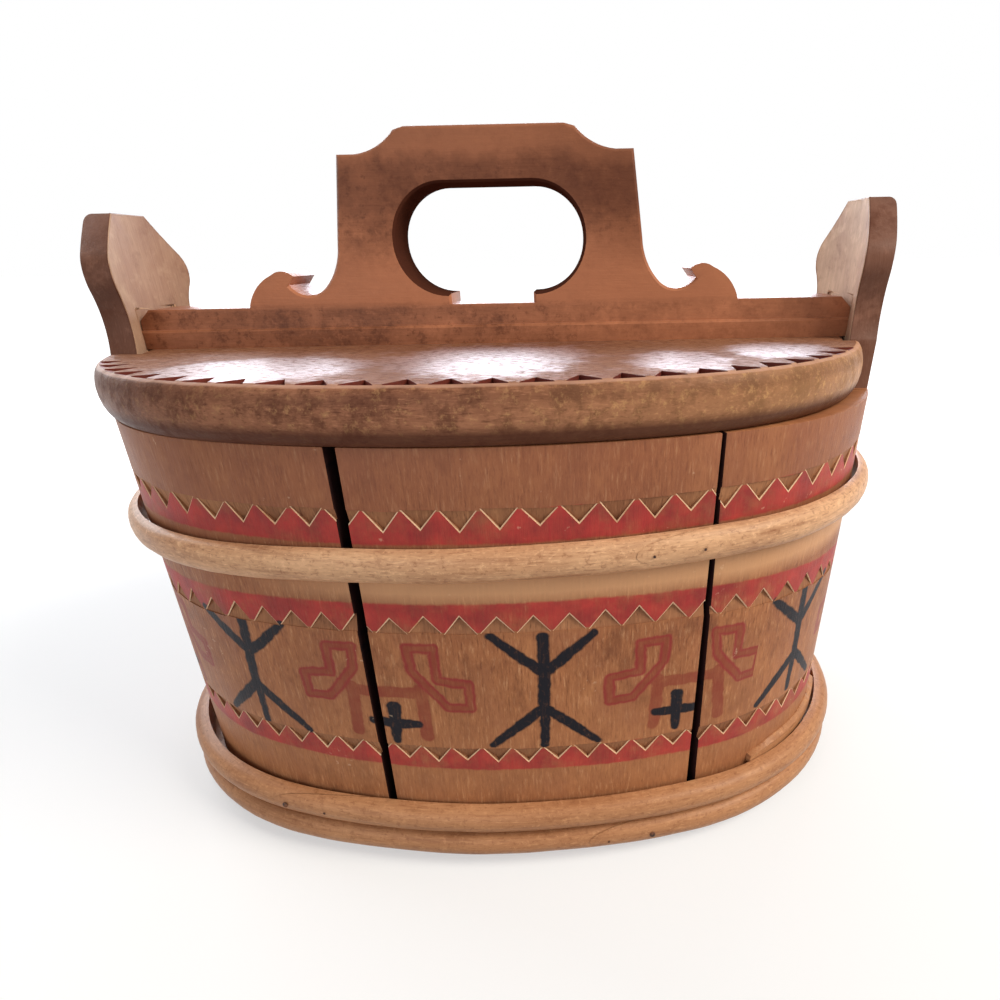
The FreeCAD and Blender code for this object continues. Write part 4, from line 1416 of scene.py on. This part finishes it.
def ear_notch(side, material):
    """What is cut out of the lid for an ear: taller than the lid and past its end."""
    below, tall, past = 5.0 * MM, 25.0 * MM, 40.0 * MM
    bm = bmesh.new()
    angle = math.asin(NOTCH_HALF / NOTCH_RADIUS)
    start = Vector((FOOT.end_x + NOTCH_RADIUS * math.cos(angle), -NOTCH_HALF,
                    LID_RIM_LOW - below))
    ends = [bm.verts.new(start), bm.verts.new(start + Vector((0.0, 0.0, tall)))]
    bmesh.ops.spin(bm, geom=ends + [bm.edges.new(ends)], cent=(FOOT.end_x, 0.0, 0.0),
                   axis=(0.0, 0.0, 1.0), angle=2.0 * angle, steps=16, use_duplicate=False)
    drawn = bmesh.ops.extrude_face_region(bm, geom=bm.faces[:], use_keep_orig=True)["geom"]
    moved = [item for item in drawn if isinstance(item, bmesh.types.BMVert)]
    bmesh.ops.translate(bm, verts=moved, vec=(past, 0.0, 0.0))
    if side < 0:
        bmesh.ops.scale(bm, verts=bm.verts, vec=(-1.0, 1.0, 1.0))
    bmesh.ops.recalc_face_normals(bm, faces=bm.faces)
    return new_object("ear_notch", bm, [material])


class TINE_OT_lid(bpy.types.Operator):
    """The oval lid board, notched for the ears, with chips along its edge"""
    bl_idname = "tine.lid"
    bl_label = "Lid board"

    def execute(self, context):
        top, rim, chip, _, _ = lid_materials()
        bm = bmesh.new()
        spin_round(bm, lid_rim(bm), LID_PLAN, LID_STEPS)
        bmesh.ops.edgeloop_fill(bm, edges=[edge for edge in bm.edges if edge.is_boundary])
        bmesh.ops.recalc_face_normals(bm, faces=bm.faces)
        bmesh.ops.translate(bm, verts=bm.verts, vec=(LID_OFF_CENTRE, 0.0, 0.0))
        for face in bm.faces:
            face.material_index = 0 if face.normal.z > LID_FLAT else 1
        piece = new_object("carved_lid_board", bm, [top, rim, chip], 40.0)
        for side in (-1, 1):
            cut_by(piece, ear_notch(side, rim))
        cut_by(piece, lid_chips(sizes(), chip))
        reshade(piece, 28.0)
        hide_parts("lid_board")
        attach(piece, "lid")
        return {"FINISHED"}


RIB_BACK = 9.4 * MM             # y of the rib's back face
RIB_CHIP_START, RIB_CHIP_PITCH = 79.0 * MM, 9.5 * MM
RIB_CHIP_HALF, RIB_CHIP_REACH = 3.6 * MM, 3.2 * MM
RIB_CHIP_DEPTH, RIB_CHIP_SHALLOW = 0.7 * MM, 0.2 * MM   # at the back arris and at the point


def rib_chips(material):
    """Small chips along the rib's back upper arris, outside the grip."""
    back = RIB_BACK + 2.0 * MM          # past the arris, so that a chip opens on the back face
    bm = bmesh.new()
    for side in (-1.0, 1.0):
        for index in range(3):
            x = side * (RIB_CHIP_START + RIB_CHIP_PITCH * index)
            spots = ((x - RIB_CHIP_HALF, back, RIB_CHIP_DEPTH),
                     (x + RIB_CHIP_HALF, back, RIB_CHIP_DEPTH),
                     (x, RIB_BACK - RIB_CHIP_REACH, RIB_CHIP_SHALLOW))
            add_wedge(bm, [Vector((px, py, RIB_TOP + 1.0 * MM)) for px, py, _ in spots],
                      [Vector((px, py, RIB_TOP - deep)) for px, py, deep in spots])
    bmesh.ops.recalc_face_normals(bm, faces=bm.faces)
    return new_object("rib_chips", bm, [material])


HAND_HOLE = Vector((0.0, 0.0, 163.7 * MM))
HOLE_REACH_X, HOLE_REACH_Z = 28.0 * MM, 16.0 * MM   # how far from its middle its walls may lie
HOLE_ROUND = 1.1 * MM
CREST_START, CREST_RUN = 184.0 * MM, 6.0 * MM       # where the rounding grows up to the crest


def in_hand_hole(face):
    """Whether a face of the handle board is a wall of its hand hole."""
    spot = face.calc_center_median() - HAND_HOLE
    return (abs(face.normal.y) < 0.9 and abs(spot.x) < HOLE_REACH_X
            and abs(spot.z) < HOLE_REACH_Z)


def weigh_edges(bm, tine):
    """Bevel weights: little on plain edges, full on the crest, some round the hand hole."""
    weight = bm.edges.layers.float.new("bevel_weight_edge")
    base = tine.edge_break / tine.crest_round
    for edge in bm.edges:
        if edge.calc_face_angle(0.0) > math.radians(40.0):
            height = sum(vert.co.z for vert in edge.verts) / 2.0
            share = min(1.0, max(0.0, (height - CREST_START) / CREST_RUN))
            edge[weight] = base + (1.0 - base) * share * share * (3.0 - 2.0 * share)
    for face in filter(in_hand_hole, bm.faces):
        for edge in face.edges:
            if abs((edge.verts[0].co - edge.verts[1].co).normalized().y) < 0.5:
                edge[weight] = HOLE_ROUND / tine.crest_round


class TINE_OT_handle(bpy.types.Operator):
    """The rib and grip that lock the lid between the ears"""
    bl_idname = "tine.handle"
    bl_label = "Handle board"

    def execute(self, context):
        tine = sizes()
        _, _, chip, board, hole = lid_materials()
        bm = node_copy("handle_board")
        weigh_edges(bm, tine)
        for face in bm.faces:
            face.material_index = 1 if in_hand_hole(face) else 0
        piece = new_object("carved_handle_board", bm, [board, hole, chip], 30.0)
        add_bevel(piece, tine.crest_round, 4).limit_method = "WEIGHT"
        apply_modifiers(piece)
        cut_by(piece, rib_chips(chip))
        reshade(piece, 30.0)
        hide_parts("handle_board")
        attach(piece, "lid")
        return {"FINISHED"}


class TINE_OT_pegs(bpy.types.Operator):
    """Pegs that hold the lid to the handle board"""
    bl_idname = "tine.pegs"
    bl_label = "Pegs"

    def execute(self, context):
        c = colours()
        dress("handle_pegs", plain_wood("Peg wood", (c.stave_dark, c.lid, c.stave),
                                        turn=GRAIN_UP))
        return {"FINISHED"}


# ---- stage --------------------------------------------------------------------------------
CAMERA_PLACE = (0.024617, -0.233385, 0.158623)
CAMERA_TURN = (0.01256, 0.37981, -0.0206)   # yaw, pitch down and roll, in radians
FOCAL = 0.71767                             # focal length as a share of the frame's width
CENTRE = (0.57126, 0.54249)                 # the lens's axis in the frame, from its top left
SENSOR = 36.0

WHITE = (1.0, 1.0, 1.0, 1.0)


def lamp(name, place, aim, size, power, colour):
    """A soft rectangular lamp that looks at a place."""
    light = bpy.data.lights.new(name, "AREA")
    light.shape = "RECTANGLE"
    light.size, light.size_y = size
    light.energy = power
    light.color = colour
    holder = bpy.data.objects.new(name, light)
    turn = (Vector(place) - Vector(aim)).to_track_quat("Z", "Y").to_matrix().to_4x4()
    holder.matrix_world = Matrix.Translation(place) @ turn
    bpy.context.scene.collection.objects.link(holder)
    return holder


def floor_paper():
    """Grey paper that burns out to white where it is seen, more so away from the box."""
    material, w, sockets = new_material("Floor")
    sockets["Base Color"].default_value = (0.5, 0.5, 0.5, 1.0)
    sockets["Roughness"].default_value = 0.9
    sockets["Specular IOR Level"].default_value = 0.1
    sockets["Emission Color"].default_value = WHITE
    path = w.add("ShaderNodeLightPath").outputs
    seen = w.math("MAXIMUM", path["Is Camera Ray"], path["Is Glossy Ray"])
    far = w.add("ShaderNodeVectorMath", {0: object_place(w)}, operation="LENGTH")
    glow = w.span(far.outputs["Value"], 0.2, 0.7, 0.5, 1.0, smooth=True)
    w.feed(sockets["Emission Strength"], w.math("MULTIPLY", seen, glow))
    return material


def light_world(scene):
    """White where the world is seen, dimmer as light."""
    world = scene.world or bpy.data.worlds.new("World")
    scene.world = world
    world.use_nodes = True
    w = Wiring(world.node_tree)
    w.tree.nodes.clear()
    path = w.add("ShaderNodeLightPath").outputs
    seen = w.math("MAXIMUM", path["Is Camera Ray"], w.math(
        "MAXIMUM", path["Is Glossy Ray"], path["Is Transmission Ray"]))
    back = w.add("ShaderNodeBackground", {"Color": WHITE,
                                          "Strength": w.span(seen, 0.0, 1.0, 0.26, 1.0)})
    w.feed(w.add("ShaderNodeOutputWorld").inputs["Surface"], back.outputs[0])


def place_camera(scene):
    """A camera close to the box, in front and above, with its lens's axis off the middle."""
    yaw, pitch, roll = CAMERA_TURN
    ahead = Vector((-math.sin(yaw) * math.cos(pitch), math.cos(yaw) * math.cos(pitch),
                    -math.sin(pitch)))
    right = Vector((math.cos(yaw), math.sin(yaw), 0.0))
    up = right.cross(ahead)
    across = math.cos(roll) * right + math.sin(roll) * up
    above = -math.sin(roll) * right + math.cos(roll) * up
    data = bpy.data.cameras.new("Camera")
    data.sensor_width = SENSOR
    data.lens = SENSOR * FOCAL
    data.shift_x = 0.5 - CENTRE[0]
    data.shift_y = CENTRE[1] - 0.5
    data.clip_start = 0.01
    camera = bpy.data.objects.new("Camera", data)
    turn = Matrix((across, above, -ahead)).transposed().to_4x4()
    camera.matrix_world = Matrix.Translation(CAMERA_PLACE) @ turn
    scene.collection.objects.link(camera)
    bpy.context.scene.camera = camera


class TINE_OT_stage(bpy.types.Operator):
    """Floor, soft light and camera"""
    bl_idname = "tine.stage"
    bl_label = "Stage"

    def execute(self, context):
        scene = context.scene
        bm = bmesh.new()
        bmesh.ops.create_grid(bm, x_segments=1, y_segments=1, size=12.0)
        new_object("floor", bm, [floor_paper()])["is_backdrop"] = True
        light_world(scene)

        middle = (0.0, 0.0, 0.09)
        # name, place, aim, size, watts, colour
        lamp("Key", (0.74, -0.36, 0.72), middle, (0.5, 0.5), 9.5, (1.0, 0.95, 0.85))
        lamp("Fill", (-0.38, -0.82, 0.35), middle, (0.7, 0.7), 2.4, (0.90, 0.94, 1.0))
        lamp("Window", (-0.65, 0.50, 0.52), middle, (0.6, 0.6), 4.6, (0.95, 0.97, 1.0))
        lamp("Far window", (0.10, 0.85, 0.45), middle, (1.0, 0.3), 3.0, (0.84, 0.90, 1.0))
        # Seen in gloss alone: the sheen that a bright window behind leaves on whole varnish.
        sheen = lamp("Sheen", (-0.05, 1.0, 0.62), (0.0, 0.0, 0.13), (1.6, 0.8), 22.0,
                     (0.86, 0.87, 1.0))
        sheen.visible_diffuse = False

        place_camera(scene)
        scene.view_settings.view_transform = "Standard"
        return {"FINISHED"}


# ---- add-on -------------------------------------------------------------------------------
STEPS = (TINE_OT_staves, TINE_OT_ears, TINE_OT_bottom, TINE_OT_hoops, TINE_OT_nails, TINE_OT_lid,
         TINE_OT_handle, TINE_OT_pegs, TINE_OT_stage)


class TINE_PT_panel(bpy.types.Panel):
    """Lists the tine's pieces and settings"""
    bl_label = "Norwegian tine"
    bl_idname = "TINE_PT_panel"
    bl_space_type = "VIEW_3D"
    bl_region_type = "UI"
    bl_category = "Tine"

    def draw(self, context):
        layout = self.layout
        for step in STEPS:
            layout.operator(step.bl_idname)
        for group in (context.scene.tine_sizes, context.scene.tine_colours):
            for key in group.__annotations__:
                layout.prop(group, key)


CLASSES = (TineColours, TineSizes) + STEPS + (TINE_PT_panel,)


def register():
    for item in CLASSES:
        bpy.utils.register_class(item)
    bpy.types.Scene.tine_colours = PointerProperty(type=TineColours)
    bpy.types.Scene.tine_sizes = PointerProperty(type=TineSizes)


def unregister():
    del bpy.types.Scene.tine_sizes
    del bpy.types.Scene.tine_colours
    for item in reversed(CLASSES):
        bpy.utils.unregister_class(item)


def corners(box):
    return [[float(value) for value in corner] for corner in box]


def main():
    register()
    for make in (grain_group, stroke_group, wear_group):
        make()
    for step in STEPS:
        area, action = step.bl_idname.split(".")
        getattr(getattr(bpy.ops, area), action)()
    {"cad": corners(CAD_BOX), "visual": corners(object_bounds())}


if __name__ == "__main__":
    main()
